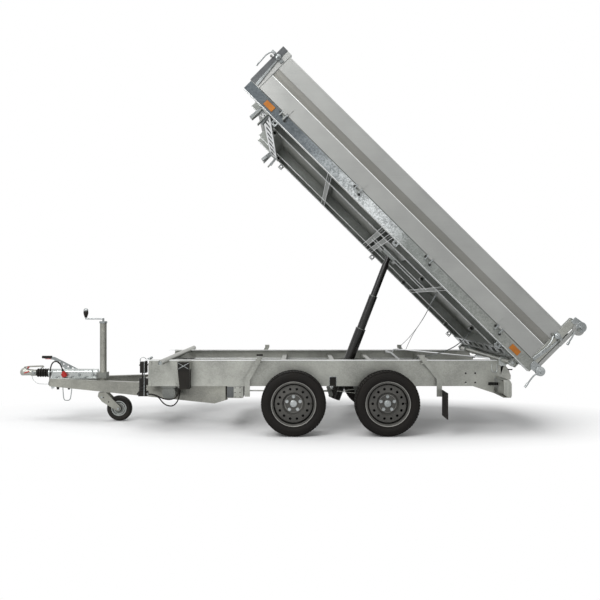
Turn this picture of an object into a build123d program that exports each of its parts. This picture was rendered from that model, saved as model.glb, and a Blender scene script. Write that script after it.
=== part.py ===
from build123d import *
from math import atan2, cos, degrees, hypot, radians, sin, tan
import os

os.makedirs("parts", exist_ok=True)

# Tandem axle tipping trailer. Millimetres. +X points to the tail, -X to the coupling,
# +Y to the trailer's right side, +Z up. The ground is z = 0 and the origin lies under the
# middle of the whole length. The bed is modelled lowered, about its own rear tipping
# axis (local x towards the tail, local z up from that axis), and then tipped.

clearance = 0.3
running_gap = 5.0

# Wheels and axles
tyre_diameter = 525.0
tyre_width = 195.0
rim_diameter = 364.0
rim_wall = 5.0
track_half = 772.5
axle_spacing = 756.0
axle_middle_x = 486.0
axle_tube_size = 80.0
axle_tube_raise = 30.0
axle_arm_length = 150.0
axle_arm_width = 30.0
axle_seat_half = 60.0
spindle_diameter = 48.0
spindle_reach = 46.0
drum_diameter = 208.0
rim_hole_circle = 121.0
rim_hole_diameter = 22.0
rim_hole_count = 14

# Chassis rails, C sections open to the middle
rail_front_x = -1100.0
rail_back_x = 1832.0
rail_outer_y = 610.0
rail_bottom_z = 377.0
rail_top_z = 594.0
rail_flange = 60.0
rail_wall = 5.0
cross_member_xs = (rail_front_x, -10.0, 430.0, 770.0, 1300.0)
cross_member_depth = 120.0
cross_member_drop = 40.0
cross_member_flange = 40.0
cradle_plate_x = (430.0, 775.0)
cradle_plate_y = 120.0
cradle_plate_wall = 8.0
rear_lug_wall = 12.0
rear_lug_reach = 34.0
bolt_row_x = 1583.0
bolt_row_z = 443.5
bolt_spacing = 80.0
bolt_hole_diameter = 13.0

# Tipping axes: one tube across the front, one across the back
tipping_tube_diameter = 45.0
tipping_tube_bore = 35.0
tipping_tube_half = 882.0
front_tube_x = -953.0
hinge_x = 1854.0
hinge_z = 594.0
tip_angle = 44.8

# Drawbar, two tapered channels that meet at the overrun housing
drawbar_front_x = -2115.0
drawbar_front_y = 60.0
drawbar_back_x = -457.0
drawbar_back_y = 560.0
drawbar_width = 50.0
drawbar_top_z = 377.0
drawbar_front_depth = 66.0
drawbar_back_depth = 153.0
drawbar_wall = 5.0
drawbar_tail_slope = (32.0, 100.0)
drawbar_nose_wall = 8.0
drawbar_tie_x = (-1290.0, -1240.0)
drawbar_tie_half = 336.0
drawbar_tie_depth = 50.0
drawbar_tie_drop = 10.0

# Saddle between the drawbar's tail and the rails
saddle_x = (-449.0, -317.0)
saddle_bottom_z = 276.0
saddle_half = 602.0
saddle_wall = 6.0
saddle_bolt_inset = 40.0

# Overrun device and coupling
coupling_z = 425.0
coupling_ball_x = -2375.0
coupling_ball_diameter = 50.0
coupling_neck_x = -2300.0
coupling_neck_diameter = 60.0
coupling_body = (80.0, 66.0)
coupling_corner = 26.0
coupling_raise = 6.0
coupling_dome_diameter = 84.0
coupling_skirt = 22.0
handle_half = 14.0
housing_front_x = -2150.0
housing_back_x = -1640.0
housing_width = 84.0
housing_rise = 12.0
housing_tube_diameter = 72.0
housing_plate_wall = 8.0
housing_plate_over = 25.0
draw_tube_diameter = 45.0
bellows_diameter = 78.0
bellows_front_x = -2262.0
bellows_folds = 5
bellows_fold_depth = 10.0
brake_lever_wall = 12.0
brake_lever_hub_x = -1915.0
brake_lever_hub_diameter = 24.0
brake_lever_holes = ((-1950, 458, 11), (-1993, 477, 9), (-2034, 500, 7.5), (-2070, 520, 6))

# Jockey leg
jockey_x = -1626.0
jockey_y = -95.0
jockey_tube_diameter = 60.0
jockey_tube_bore = 52.0
jockey_tube_top_z = 903.0
jockey_tube_bottom_z = 300.0
jockey_tube_cap = 8.0
jockey_leg_diameter = 50.0
jockey_leg_length = 420.0
jockey_wheel_diameter = 230.0
jockey_wheel_width = 66.0
jockey_rim_radius = 64.0
jockey_axle_radius = 9.0
jockey_trail = 149.0
jockey_fork_top_z = 262.0
jockey_fork_wall = 6.0
jockey_fork_room = 6.0
crank_arm = 158.0
crank_bar_radius = 6.0
crank_shaft_radius = 9.0
crank_rise = 21.0

# Fittings at the front
cover_back_x = -857.0
cover_wall = 4.0
holder_wall = 3.0
holder_depth = 100.0
holder_band = (70.0, 10.0)
chock_back_x = -743.0
chock_bottom_z = 364.0
battery_back_x = -862.0
battery_half = 310.0
battery_drop = 60.0
motor_x = -940.0
motor_z = 318.0
motor_radius = 56.0
motor_y = (-588.0, -475.0)
motor_seat_x = (-1000.0, -880.0)
motor_seat_y = (-600.0, -475.0)
motor_seat_z = 360.0
pump_x = -1172.0
pump_y = -520.0
pump_block_x = (-1202.0, -1130.0)
pump_block_half = 36.0
pump_block_z = (284.0, 324.0)
pump_body_radius = 29.0
pump_body_height = 112.0
pump_rod_radius = 6.0
pump_rod_length = 90.0
pump_ring_radius = 30.0
pump_ring_z = 508.0
pump_ring_height = 50.0
pump_bracket_half = 40.0
pump_bracket_z = (380.0, 432.0)

# Mud flaps and their stays, each stay given by the x of its top and of its elbow
stay_offset = 45.0
stay_wall = 5.0
stay_width = 44.0
stay_top_z = 640.0
stay_elbow_z = (432.0, 440.0)
stay_bottom_z = 296.0
stay_foot_z = (566.0, 576.0)
stay_foot_shift = 14.0
stay_table = ((-195.0, -298.0), (1147.0, 1290.0))
flap_width = 215.0
flap_wall = 6.0
flap_z = (142.0, 352.0)

# Bed, measured from the tipping axis
bed_front = 3062.0
bed_back = 165.0
bed_half_width = 905.0
bed_rail_bottom = 37.0
floor_top = 122.0
floor_thickness = 4.0
bed_wall = 4.0
board_height = 349.0
board_thickness = 28.0
board_gap = 5.0
post_length = 95.0
post_width = 50.0
beam_width = 40.0
centre_beam_y = 82.0
outer_beam_y = 520.0
bearer_places = (804.0, 1400.0, 1480.0, 2090.0)
bed_rail_flange = 45.0
bed_end_inset = 35.0
slotted_beam_bottom = 29.0
slotted_beam_width = 100.0
slotted_beam_fronts = (-2850.0, -140.0)
slot_size = (62.0, 80.0)
slot_pitch = 200.0
slot_count = 8
saddle_leg_wall = 7.0
saddle_leg_reach = (-87.0, -18.0)
saddle_leg_width = 56.0
groove_depth = 16.0
groove_bottom = 143.0
groove_top = 213.0
hinge_places = (282.0, 1060.0, 1848.0, 2676.0)
board_hinge_axis_out = 15.0
board_hinge_axis_drop = 2.0
board_hinge_pin = 14.0
board_hinge_wall = 5.0
board_hinge_knuckle = 16.0
post_rise = 20.0
wall_rib = (7.0, 20.0)
rear_post_height = 575.0
gate_overlap = 30.0
tailgate_pivot_back = 170.0
tailgate_pivot_height = 545.0
tailgate_pivot_radius = 11.0
tailgate_ear_radius = 48.0
tailgate_ear_wall = 8.0
tailgate_strap = 120.0
reflector_places = (2808.0, 73.0)
reflector_half = 45.0
reflector_z = (57.0, 102.0)
eye_places = (195.0, 1335.0, 2683.0)
eye_radius = 20.0
eye_bore = 11.0
eye_wall = 10.0

# Light beam across the tail
beam_x = (1778.0, 1838.0)
beam_bottom_z = 318.0
beam_top_z = 460.0
beam_wall = 5.0
beam_bevel = (14.0, 20.0)
bracket_run = 178.0
bracket_wall = 6.0
lamp_inset = 12.0
lamp_length = 220.0
lamp_depth = 30.0
lamp_z = (338.0, 432.0)

# Tipping cylinder, hung on trunnions between the cradle plates
trunnion_x = 587.0
trunnion_z = 485.0
trunnion_pin = 44.0
barrel_diameter = 112.0
barrel_below = 315.0
barrel_above = 47.0
barrel_floor = 12.0
head_forward = 1268.0
head_height = 45.0
stage_diameters = (92.0, 75.0, 60.0)
stage_lip = 4.0
head_diameter = 66.0
head_neck = 48.0
head_pin_radius = 14.0
head_cheek_y = 46.0
head_cheek_wall = 8.0
head_cheek_half = 70.0
head_cheek_bottom = 10.0
collar_height = 28.0
collar_over = 9.0
stage_step = 3.0


def block(x, y, z, mode=Mode.ADD):
    """A plate or bar between pairs of low and high coordinates."""
    with Locations(((x[0] + x[1]) / 2, (y[0] + y[1]) / 2, (z[0] + z[1]) / 2)):
        Box(x[1] - x[0], y[1] - y[0], z[1] - z[0], mode=mode)


def rod_along_y(x, z, radius, y, mode=Mode.ADD):
    """A round bar across the trailer between two y values."""
    with Locations(Location((x, (y[0] + y[1]) / 2, z), (90, 0, 0))):
        Cylinder(radius, y[1] - y[0], mode=mode)


def rod_along_x(y, z, radius, x, mode=Mode.ADD):
    """A round bar along the trailer between two x values."""
    with Locations(Location(((x[0] + x[1]) / 2, y, z), (0, 90, 0))):
        Cylinder(radius, x[1] - x[0], mode=mode)


def side_profile(points, y, mode=Mode.ADD):
    """A flat outline of (x, z) points, drawn across the trailer between two y values."""
    with BuildSketch(Plane.XZ.offset(-y[0])) as outline:
        with BuildLine():
            Polyline(*points, close=True)
        make_face()
    extrude(outline.sketch, amount=-(y[1] - y[0]), mode=mode)


def finish(piece, label, place=None):
    """Name a finished piece and write it, placed on the tipped bed where it belongs there."""
    if place is not None:
        piece.part.move(place)
    piece.part.label = label
    export_step(piece.part, f"parts/{label}.step")


axle_z = tyre_diameter / 2
axle_xs = (axle_middle_x - axle_spacing / 2, axle_middle_x + axle_spacing / 2)
tube_radius = tipping_tube_diameter / 2
bed_place = Location((hinge_x, 0, hinge_z), (0, tip_angle, 0))


def on_bed(x, z):
    """Where a point of the lowered bed stands on the tipped one."""
    turn = radians(tip_angle)
    return hinge_x + x * cos(turn) + z * sin(turn), hinge_z - x * sin(turn) + z * cos(turn)


# CHASSIS FRAME
rail_inner_y = rail_outer_y - rail_flange
cross_top_z = rail_top_z - cross_member_drop
cross_bottom_z = cross_top_z - cross_member_depth
with BuildPart() as chassis_frame:
    for side in (-1, 1):
        web = sorted((side * rail_outer_y, side * (rail_outer_y - rail_wall)))
        flange = sorted((side * rail_outer_y, side * rail_inner_y))
        block((rail_front_x, rail_back_x), web, (rail_bottom_z, rail_top_z))
        block((rail_front_x, rail_back_x), flange, (rail_top_z - rail_wall, rail_top_z))
        block((rail_front_x, rail_back_x), flange, (rail_bottom_z, rail_bottom_z + rail_wall))
    for x in cross_member_xs:
        cross_y = (-rail_outer_y + rail_wall, rail_outer_y - rail_wall)
        block((x, x + rail_wall), cross_y, (cross_bottom_z, cross_top_z))
        block((x, x + cross_member_flange), cross_y, (cross_top_z - rail_wall, cross_top_z))
        block((x, x + cross_member_flange), cross_y, (cross_bottom_z, cross_bottom_z + rail_wall))
    block(saddle_x, (-saddle_half, saddle_half), (rail_bottom_z - saddle_wall, rail_bottom_z))
    for x in (saddle_x[0], saddle_x[1] - saddle_wall):
        block((x, x + saddle_wall), (-saddle_half, saddle_half), (saddle_bottom_z, rail_bottom_z))
    for side in (-1, 1):
        cheek = sorted((side * saddle_half, side * (saddle_half - saddle_wall)))
        block(saddle_x, cheek, (saddle_bottom_z, rail_bottom_z))
        for x in (saddle_x[0] + saddle_bolt_inset, saddle_x[1] - saddle_bolt_inset):
            through = sorted((side * (saddle_half + 1), side * (saddle_half - saddle_wall - 1)))
            middle_z = (saddle_bottom_z + rail_bottom_z) / 2
            rod_along_y(x, middle_z, bolt_hole_diameter / 2, through, Mode.SUBTRACT)
    for side in (-1, 1):
        plate = sorted((side * cradle_plate_y, side * (cradle_plate_y + cradle_plate_wall)))
        block(cradle_plate_x, plate, (cross_bottom_z, cross_top_z))
        notch = sorted((side * (rail_outer_y + 1), side * (rail_inner_y - 1)))
        rod_along_y(front_tube_x, rail_top_z, tube_radius + clearance, notch, Mode.SUBTRACT)
    for x in (bolt_row_x - bolt_spacing / 2, bolt_row_x + bolt_spacing / 2):
        for z in (bolt_row_z - bolt_spacing / 2, bolt_row_z + bolt_spacing / 2):
            for side in (-1, 1):
                through = sorted((side * (rail_outer_y + 1), side * (rail_outer_y - rail_wall - 1)))
                rod_along_y(x, z, bolt_hole_diameter / 2, through, Mode.SUBTRACT)
    for side in (-1, 1):
        lug = sorted((side * rail_outer_y, side * (rail_outer_y - rear_lug_wall)))
        side_profile(((rail_back_x - 90, rail_bottom_z + 40), (rail_back_x, rail_bottom_z + 90),
                      (hinge_x + 8, hinge_z - tube_radius - rear_lug_wall),
                      (hinge_x + rear_lug_reach, hinge_z - 10), (hinge_x + rear_lug_reach, hinge_z),
                      (rail_back_x - 90, hinge_z)), lug)
        rod_along_y(hinge_x, hinge_z, tube_radius + clearance,
                    sorted((side * (rail_outer_y + 1), side * (rail_inner_y - 1))), Mode.SUBTRACT)
    block((beam_x[0], rail_back_x + 60), (-rail_outer_y - 1, rail_outer_y + 1),
          (rail_bottom_z - 1, beam_top_z), Mode.SUBTRACT)
finish(chassis_frame, "chassis_frame")

for label, x in (("tipping_tube_front", front_tube_x), ("tipping_tube_rear", hinge_x)):
    with BuildPart() as tipping_tube:
        rod_along_y(x, hinge_z, tube_radius, (-tipping_tube_half, tipping_tube_half))
        rod_along_y(x, hinge_z, tipping_tube_bore / 2,
                    (-tipping_tube_half - 1, tipping_tube_half + 1), Mode.SUBTRACT)
    finish(tipping_tube, label)

# DRAWBAR
drawbar_run = hypot(drawbar_back_x - drawbar_front_x, drawbar_back_y - drawbar_front_y)
drawbar_turn = atan2(drawbar_back_y - drawbar_front_y, drawbar_back_x - drawbar_front_x)
drawbar_outline = ((0, 0), (drawbar_run, 0), (drawbar_run, -drawbar_back_depth + drawbar_tail_slope[0]),
                   (drawbar_run - drawbar_tail_slope[1], -drawbar_back_depth), (0, -drawbar_front_depth))
with BuildPart() as drawbar:
    for side in (-1, 1):
        along = Vector(cos(drawbar_turn), side * sin(drawbar_turn), 0)
        outward = Vector(-sin(drawbar_turn), side * cos(drawbar_turn), 0)
        start = Vector(drawbar_front_x, side * drawbar_front_y, drawbar_top_z) + outward * (drawbar_width / 2)
        web_plane = Plane(origin=start, x_dir=along, z_dir=along.cross(Vector(0, 0, 1)))
        inward = 1 if web_plane.z_dir.dot(outward) < 0 else -1
        with BuildSketch(web_plane) as web:
            with BuildLine():
                Polyline(*drawbar_outline, close=True)
            make_face()
        extrude(web.sketch, amount=inward * drawbar_width)
        with BuildSketch(web_plane) as hollow:
            with BuildLine():
                Polyline(*drawbar_outline, close=True)
            make_face()
            offset(amount=-drawbar_wall, kind=Kind.INTERSECTION)
        behind_web = Location(outward * -drawbar_wall)
        extrude(hollow.sketch.moved(behind_web), amount=inward * drawbar_width, mode=Mode.SUBTRACT)
    block((drawbar_front_x, drawbar_front_x + drawbar_nose_wall), (-drawbar_front_y, drawbar_front_y),
          (drawbar_top_z - drawbar_front_depth, drawbar_top_z))
    tie_top_z = drawbar_top_z - drawbar_tie_drop
    block(drawbar_tie_x, (-drawbar_tie_half, drawbar_tie_half), (tie_top_z - drawbar_tie_depth, tie_top_z))
finish(drawbar, "drawbar")

# OVERRUN HOUSING, DRAW TUBE, BELLOWS AND COUPLING
draw_tube_back_x = housing_back_x - 125
draw_tube_bore = draw_tube_diameter / 2 + clearance
plate_half = drawbar_front_y + housing_plate_over
with BuildPart() as overrun_housing:
    block((drawbar_front_x, housing_back_x), (-housing_width / 2, housing_width / 2),
          (drawbar_top_z, coupling_z + housing_rise))
    block((drawbar_front_x, jockey_x - 60), (-plate_half, plate_half),
          (drawbar_top_z, drawbar_top_z + housing_plate_wall))
    rod_along_x(0, coupling_z, housing_tube_diameter / 2, (housing_front_x, housing_back_x - 60))
    rod_along_x(0, coupling_z, draw_tube_bore, (housing_front_x - 1, draw_tube_back_x + running_gap),
                Mode.SUBTRACT)
finish(overrun_housing, "overrun_housing")

with BuildPart() as draw_tube:
    rod_along_x(0, coupling_z, draw_tube_diameter / 2, (coupling_neck_x, draw_tube_back_x))
finish(draw_tube, "draw_tube")

bellows_back_x = housing_front_x - clearance
with BuildPart() as bellows:
    fold = (bellows_back_x - bellows_front_x) / bellows_folds
    outer = bellows_diameter / 2
    valley = coupling_z + outer - bellows_fold_depth
    with BuildSketch(Plane.XZ) as section:
        with BuildLine():
            ridge = [(bellows_front_x, coupling_z + draw_tube_bore)]
            for index in range(bellows_folds):
                left = bellows_front_x + index * fold
                ridge += [(left, valley), (left + fold * 0.35, coupling_z + outer),
                          (left + fold * 0.65, coupling_z + outer)]
            ridge += [(bellows_back_x, valley), (bellows_back_x, coupling_z + draw_tube_bore)]
            Polyline(*ridge, close=True)
        make_face()
    revolve(section.sketch, Axis((0, 0, coupling_z), (1, 0, 0)))
finish(bellows, "bellows")

ball_room = coupling_ball_diameter / 2 + clearance
with BuildPart() as coupling_head:
    with BuildSketch(Plane.YZ.offset(coupling_neck_x)) as collar:
        with Locations((0, coupling_z)):
            Circle(coupling_neck_diameter / 2)
    with BuildSketch(Plane.YZ.offset(coupling_ball_x)) as dome:
        with Locations((0, coupling_z + coupling_raise)):
            RectangleRounded(*coupling_body, coupling_corner)
    loft([collar.sketch, dome.sketch])
    with Locations((coupling_ball_x, 0, coupling_z + coupling_raise)):
        Sphere(coupling_dome_diameter / 2)
    block((coupling_ball_x - 60, coupling_ball_x + 60), (-60, 60),
          (coupling_z - 60, coupling_z - coupling_skirt), Mode.SUBTRACT)
    with Locations((coupling_ball_x, 0, coupling_z)):
        Sphere(ball_room, mode=Mode.SUBTRACT)
        Cylinder(ball_room, 60, align=(Align.CENTER, Align.CENTER, Align.MAX), mode=Mode.SUBTRACT)
    rod_along_x(0, coupling_z, coupling_neck_diameter / 2 - 1, (coupling_neck_x, bellows_front_x - 4))
    rod_along_x(0, coupling_z, draw_tube_bore, (coupling_neck_x, bellows_front_x), Mode.SUBTRACT)
finish(coupling_head, "coupling_head")

with BuildPart() as coupling_handle:
    side_profile(((-2380, 473.2), (-2362, 473.2), (-2330, 476), (-2218, 480), (-2206, 472), (-2200, 476),
                  (-2212, 492), (-2335, 488), (-2376, 482)), (-handle_half, handle_half))
finish(coupling_handle, "coupling_handle")

# HANDBRAKE LEVER
with BuildPart() as handbrake_lever:
    lever_y = (housing_width / 2 + 2, housing_width / 2 + 2 + brake_lever_wall)
    side_profile(((-1985, 430), (-1880, 430), (-1895, 452), (-2118, 566), (-2233, 572), (-2233, 554),
                  (-2128, 540)), lever_y)
    for x, z, radius in brake_lever_holes:
        rod_along_y(x, z, radius, (lever_y[0] - 1, lever_y[1] + 1), Mode.SUBTRACT)
    rod_along_y(brake_lever_hub_x, coupling_z + 8, brake_lever_hub_diameter / 2,
                (housing_width / 2, lever_y[1]))
finish(handbrake_lever, "handbrake_lever")

# JOCKEY LEG
jockey_radius = jockey_tube_diameter / 2
with BuildPart() as jockey_clamp:
    block((jockey_x - 52, jockey_x + 38), (jockey_y - jockey_radius - 8, -housing_width / 2),
          (drawbar_top_z + 12, coupling_z + 14))
    with Locations((jockey_x, jockey_y, coupling_z)):
        Cylinder(jockey_radius + clearance, 120, mode=Mode.SUBTRACT)
finish(jockey_clamp, "jockey_clamp")

with BuildPart() as jockey_outer_tube:
    with Locations((jockey_x, jockey_y, jockey_tube_bottom_z)):
        Cylinder(jockey_radius, jockey_tube_top_z - jockey_tube_bottom_z,
                 align=(Align.CENTER, Align.CENTER, Align.MIN))
        Cylinder(jockey_tube_bore / 2, jockey_tube_top_z - jockey_tube_bottom_z - jockey_tube_cap,
                 align=(Align.CENTER, Align.CENTER, Align.MIN), mode=Mode.SUBTRACT)
finish(jockey_outer_tube, "jockey_outer_tube")

crank_z = jockey_tube_top_z + crank_rise
knob_x = jockey_x - crank_arm
with BuildPart() as jockey_crank:
    with Locations((jockey_x, jockey_y, jockey_tube_top_z)):
        Cylinder(crank_shaft_radius, crank_rise + 7, align=(Align.CENTER, Align.CENTER, Align.MIN))
    rod_along_x(jockey_y, crank_z, crank_bar_radius, (knob_x, jockey_x))
    with Locations((knob_x, jockey_y, crank_z - crank_bar_radius)):
        Cylinder(crank_bar_radius, 50, align=(Align.CENTER, Align.CENTER, Align.MIN))
    with Locations((knob_x, jockey_y, crank_z + 40)):
        Cone(13, 20, 38, align=(Align.CENTER, Align.CENTER, Align.MIN))
    with Locations((knob_x, jockey_y, crank_z + 76)):
        Sphere(21)
finish(jockey_crank, "jockey_crank")

with BuildPart() as jockey_leg:
    with Locations((jockey_x, jockey_y, jockey_fork_top_z + clearance)):
        Cylinder(jockey_leg_diameter / 2, jockey_leg_length, align=(Align.CENTER, Align.CENTER, Align.MIN))
finish(jockey_leg, "jockey_leg")

jockey_axle_z = jockey_wheel_diameter / 2
jockey_wheel_x = jockey_x + jockey_trail
fork_half = jockey_wheel_width / 2 + jockey_fork_room
with BuildPart() as jockey_fork:
    for side in (-1, 1):
        cheek = sorted((jockey_y + side * fork_half, jockey_y + side * (fork_half + jockey_fork_wall)))
        side_profile(((jockey_x - 30, jockey_fork_top_z), (jockey_x + 34, jockey_fork_top_z),
                      (jockey_wheel_x + 12, jockey_axle_z + 22), (jockey_wheel_x + 22, jockey_axle_z),
                      (jockey_wheel_x + 10, jockey_axle_z - 20), (jockey_wheel_x - 14, jockey_axle_z - 20),
                      (jockey_x, jockey_fork_top_z - 84), (jockey_x - 38, jockey_fork_top_z - 36)), cheek)
    block((jockey_x - 30, jockey_x + 34), (jockey_y - fork_half, jockey_y + fork_half),
          (jockey_fork_top_z - 8, jockey_fork_top_z))
    axle_half = fork_half + 2 * jockey_fork_wall
    rod_along_y(jockey_wheel_x, jockey_axle_z, jockey_axle_radius,
                (jockey_y - axle_half, jockey_y + axle_half))
finish(jockey_fork, "jockey_fork")

with BuildPart() as jockey_wheel:
    half = jockey_wheel_width / 2
    rim_r = jockey_rim_radius
    bore = jockey_axle_radius + clearance
    with BuildSketch(Plane.XY) as section:
        with BuildLine():
            Polyline((bore, -half + 4), (26, -half + 4), (30, -16), (52, -16), (rim_r, -half + 6),
                     (rim_r + 6, -half + 4), (jockey_axle_z - 18, -half + 2), (jockey_axle_z - 4, -half + 16),
                     (jockey_axle_z, 0), (jockey_axle_z - 4, half - 16), (jockey_axle_z - 18, half - 2),
                     (rim_r + 6, half - 4), (rim_r, half - 6), (52, 16), (30, 16), (26, half - 4),
                     (bore, half - 4), close=True)
        make_face()
    revolve(section.sketch, Axis.Y)
jockey_wheel.part.move(Location((jockey_wheel_x, jockey_y, jockey_axle_z)))
finish(jockey_wheel, "jockey_wheel")

# FRONT FITTINGS
with BuildPart() as side_covers:
    for side in (-1, 1):
        sheet = sorted((side * rail_outer_y, side * (rail_outer_y + cover_wall)))
        block((rail_front_x - cover_wall, cover_back_x), sheet, (rail_bottom_z, rail_top_z - tube_radius - 2))
finish(side_covers, "side_covers")

chock_front_x = cover_back_x + 6
band_z = (rail_top_z - holder_band[0], rail_top_z - holder_band[1])
holder_outer_y = rail_outer_y + holder_depth
with BuildPart() as chock_holders:
    for side in (-1, 1):
        back = sorted((side * rail_outer_y, side * (rail_outer_y + holder_wall)))
        front = sorted((side * holder_outer_y, side * (holder_outer_y + holder_wall)))
        depth = sorted((side * rail_outer_y, side * (holder_outer_y + holder_wall)))
        block((chock_front_x, chock_back_x), back, (rail_bottom_z + 30, band_z[1]))
        block((chock_front_x, chock_back_x), front, band_z)
        block((chock_front_x, chock_front_x + holder_wall), depth, band_z)
        block((chock_back_x - holder_wall, chock_back_x), depth, band_z)
finish(chock_holders, "chock_holders")

with BuildPart() as wheel_chocks:
    for side in (-1, 1):
        wide = sorted((side * (rail_outer_y + holder_wall + clearance), side * (holder_outer_y - clearance)))
        inset = holder_wall + 1
        side_profile(((chock_front_x + inset, rail_top_z - 16), (chock_back_x - inset, rail_top_z - 16),
                      (chock_back_x - inset, chock_bottom_z), (chock_front_x + 24, chock_bottom_z)), wide)
finish(wheel_chocks, "wheel_chocks")

# Hydraulic hoses from the hand pump to the power pack's couplings under the rail
hose_diameter = 10.5
hose_table = (((-1130, -540, 302), (-1070, -540, 302), (-985, -600, 268), (-905, -606, 262),
               (-853, -595, 300), (-853, -595, 361)),
              ((-1130, -512, 296), (-1055, -512, 296), (-975, -590, 215), (-890, -600, 205),
               (-846, -575, 285), (-846, -575, 361)))


def cord(label, points, diameter):
    """A flexible line: straight runs joined by arcs, as wide as the smaller neighbouring run allows."""
    radii = []
    for before, here, after in zip(points, points[1:], points[2:]):
        first, second = Vector(*here) - Vector(*before), Vector(*after) - Vector(*here)
        turn = radians(first.get_angle(second))
        radii.append(0.45 * min(first.length, second.length) / tan(turn / 2))
    with BuildPart() as line:
        with BuildLine() as route:
            corner_runs = [Vector(*point) for point in points]
            FilletPolyline(*corner_runs, radius=radii)
        course = route.wires()[0]
        with BuildSketch(Plane(origin=course @ 0, z_dir=course % 0)):
            Circle(diameter / 2)
        sweep(path=course)
    print(label, "length", round(course.length), "radii", [round(radius) for radius in radii])
    finish(line, label)


with BuildPart() as battery_box:
    block((rail_front_x + cross_member_flange, battery_back_x), (-battery_half, battery_half),
          (rail_bottom_z, rail_top_z - battery_drop))
finish(battery_box, "battery_box")

with BuildPart() as power_pack:
    rod_along_y(motor_x, motor_z, motor_radius, motor_y)
    block(motor_seat_x, motor_seat_y, (motor_seat_z, rail_bottom_z))
    for hose in hose_table:
        end_x, end_y, end_z = hose[-1]
        with Locations((end_x, end_y, end_z)):
            Cylinder(hose_diameter, rail_bottom_z - end_z, align=(Align.CENTER, Align.CENTER, Align.MIN))
finish(power_pack, "power_pack")

with BuildPart() as hand_pump:
    block(pump_block_x, (pump_y - pump_block_half, pump_y + pump_block_half), pump_block_z)
    with Locations((pump_x, pump_y, pump_block_z[1])):
        Cylinder(pump_body_radius, pump_body_height, align=(Align.CENTER, Align.CENTER, Align.MIN))
    with Locations((pump_x, pump_y, pump_block_z[1] + pump_body_height)):
        Cylinder(pump_rod_radius, pump_rod_length, align=(Align.CENTER, Align.CENTER, Align.MIN))
    with Locations((pump_x + 7, pump_y, pump_ring_z)):
        Cylinder(pump_ring_radius, pump_ring_height, align=(Align.CENTER, Align.CENTER, Align.MIN))
    block((pump_x - 8, rail_front_x), (pump_y - pump_bracket_half, pump_y + 20), pump_bracket_z)
finish(hand_pump, "hand_pump")

for number, hose in enumerate(hose_table, 1):
    cord(f"pump_hose_{number}", hose, hose_diameter)

# Plug lead, its plug parked against the overrun housing, and the breakaway wire
gland_x = (drawbar_front_x - 23.0, drawbar_front_x)
gland_y = (-58.0, -34.0)
gland_z = (318.0, 342.0)
plug_radius = 23.0
plug_length = 54.0
plug_neck_radius = 14.0
plug_neck_length = 16.0
lead_diameter = 12.0
lead_points = ((-2126.5, -51, 342), (-2126.5, -51, 415), (-2118, -58, 488), (-2092, -62, 534),
               (-2042, -65, 533), (-2014, -65.2, 484), (-2002, -65.2, 444))
wire_diameter = 4.0
wire_points = ((-2300, -26, 396), (-2288, -34, 360), (-2244, -42, 330), (-2195, -48, 326), (-2138, -48, 326))
with BuildPart() as cable_gland:
    block(gland_x, gland_y, gland_z)
finish(cable_gland, "cable_gland")
cord("plug_lead", lead_points, lead_diameter)
cord("breakaway_wire", wire_points, wire_diameter)
plug_start = Vector(*lead_points[-1])
plug_way = (plug_start - Vector(*lead_points[-2])).normalized()
with BuildPart() as parked_plug:
    with BuildSketch(Plane(origin=plug_start, z_dir=plug_way)):
        Circle(plug_neck_radius)
    extrude(amount=plug_neck_length)
    with BuildSketch(Plane(origin=plug_start + plug_way * plug_neck_length, z_dir=plug_way)):
        Circle(plug_radius)
    extrude(amount=plug_length - plug_neck_length)
finish(parked_plug, "parked_plug")

# AXLES
axle_tube_half = rail_inner_y - 6
drum_y = track_half - tyre_width / 2 - 10
for label, wheel_x in (("axle_front", axle_xs[0]), ("axle_rear", axle_xs[1])):
    tube_x = wheel_x - axle_arm_length
    tube_z = axle_z + axle_tube_raise
    seat_x = (tube_x - axle_seat_half, tube_x + axle_seat_half)
    with BuildPart() as axle:
        with BuildSketch(Plane.XZ.offset(-axle_tube_half)) as tube_section:
            with Locations((tube_x, tube_z)):
                RectangleRounded(axle_tube_size, axle_tube_size, 12)
        extrude(tube_section.sketch, amount=2 * axle_tube_half)
        for side in (-1, 1):
            arm = sorted((side * axle_tube_half, side * (axle_tube_half + axle_arm_width)))
            side_profile(((tube_x - 36, tube_z - 30), (tube_x - 36, tube_z + 30), (tube_x, tube_z + 38),
                          (wheel_x + 24, axle_z + 28), (wheel_x + 30, axle_z - 24),
                          (wheel_x - 20, axle_z - 34)), arm)
            rod_along_y(wheel_x, axle_z, spindle_diameter / 2,
                        sorted((side * (rail_inner_y + 10), side * (track_half + spindle_reach))))
            rod_along_y(wheel_x, axle_z, drum_diameter / 2,
                        sorted((side * (rail_inner_y + 20), side * drum_y)))
            seat = sorted((side * (rail_inner_y - 70), side * (rail_inner_y - 10)))
            block(seat_x, seat, (tube_z + axle_tube_raise, rail_bottom_z))
            foot = sorted((side * (rail_outer_y - 10), side * (rail_inner_y - 10)))
            block(seat_x, foot, (rail_bottom_z - 8, rail_bottom_z))
    finish(axle, label)

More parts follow.
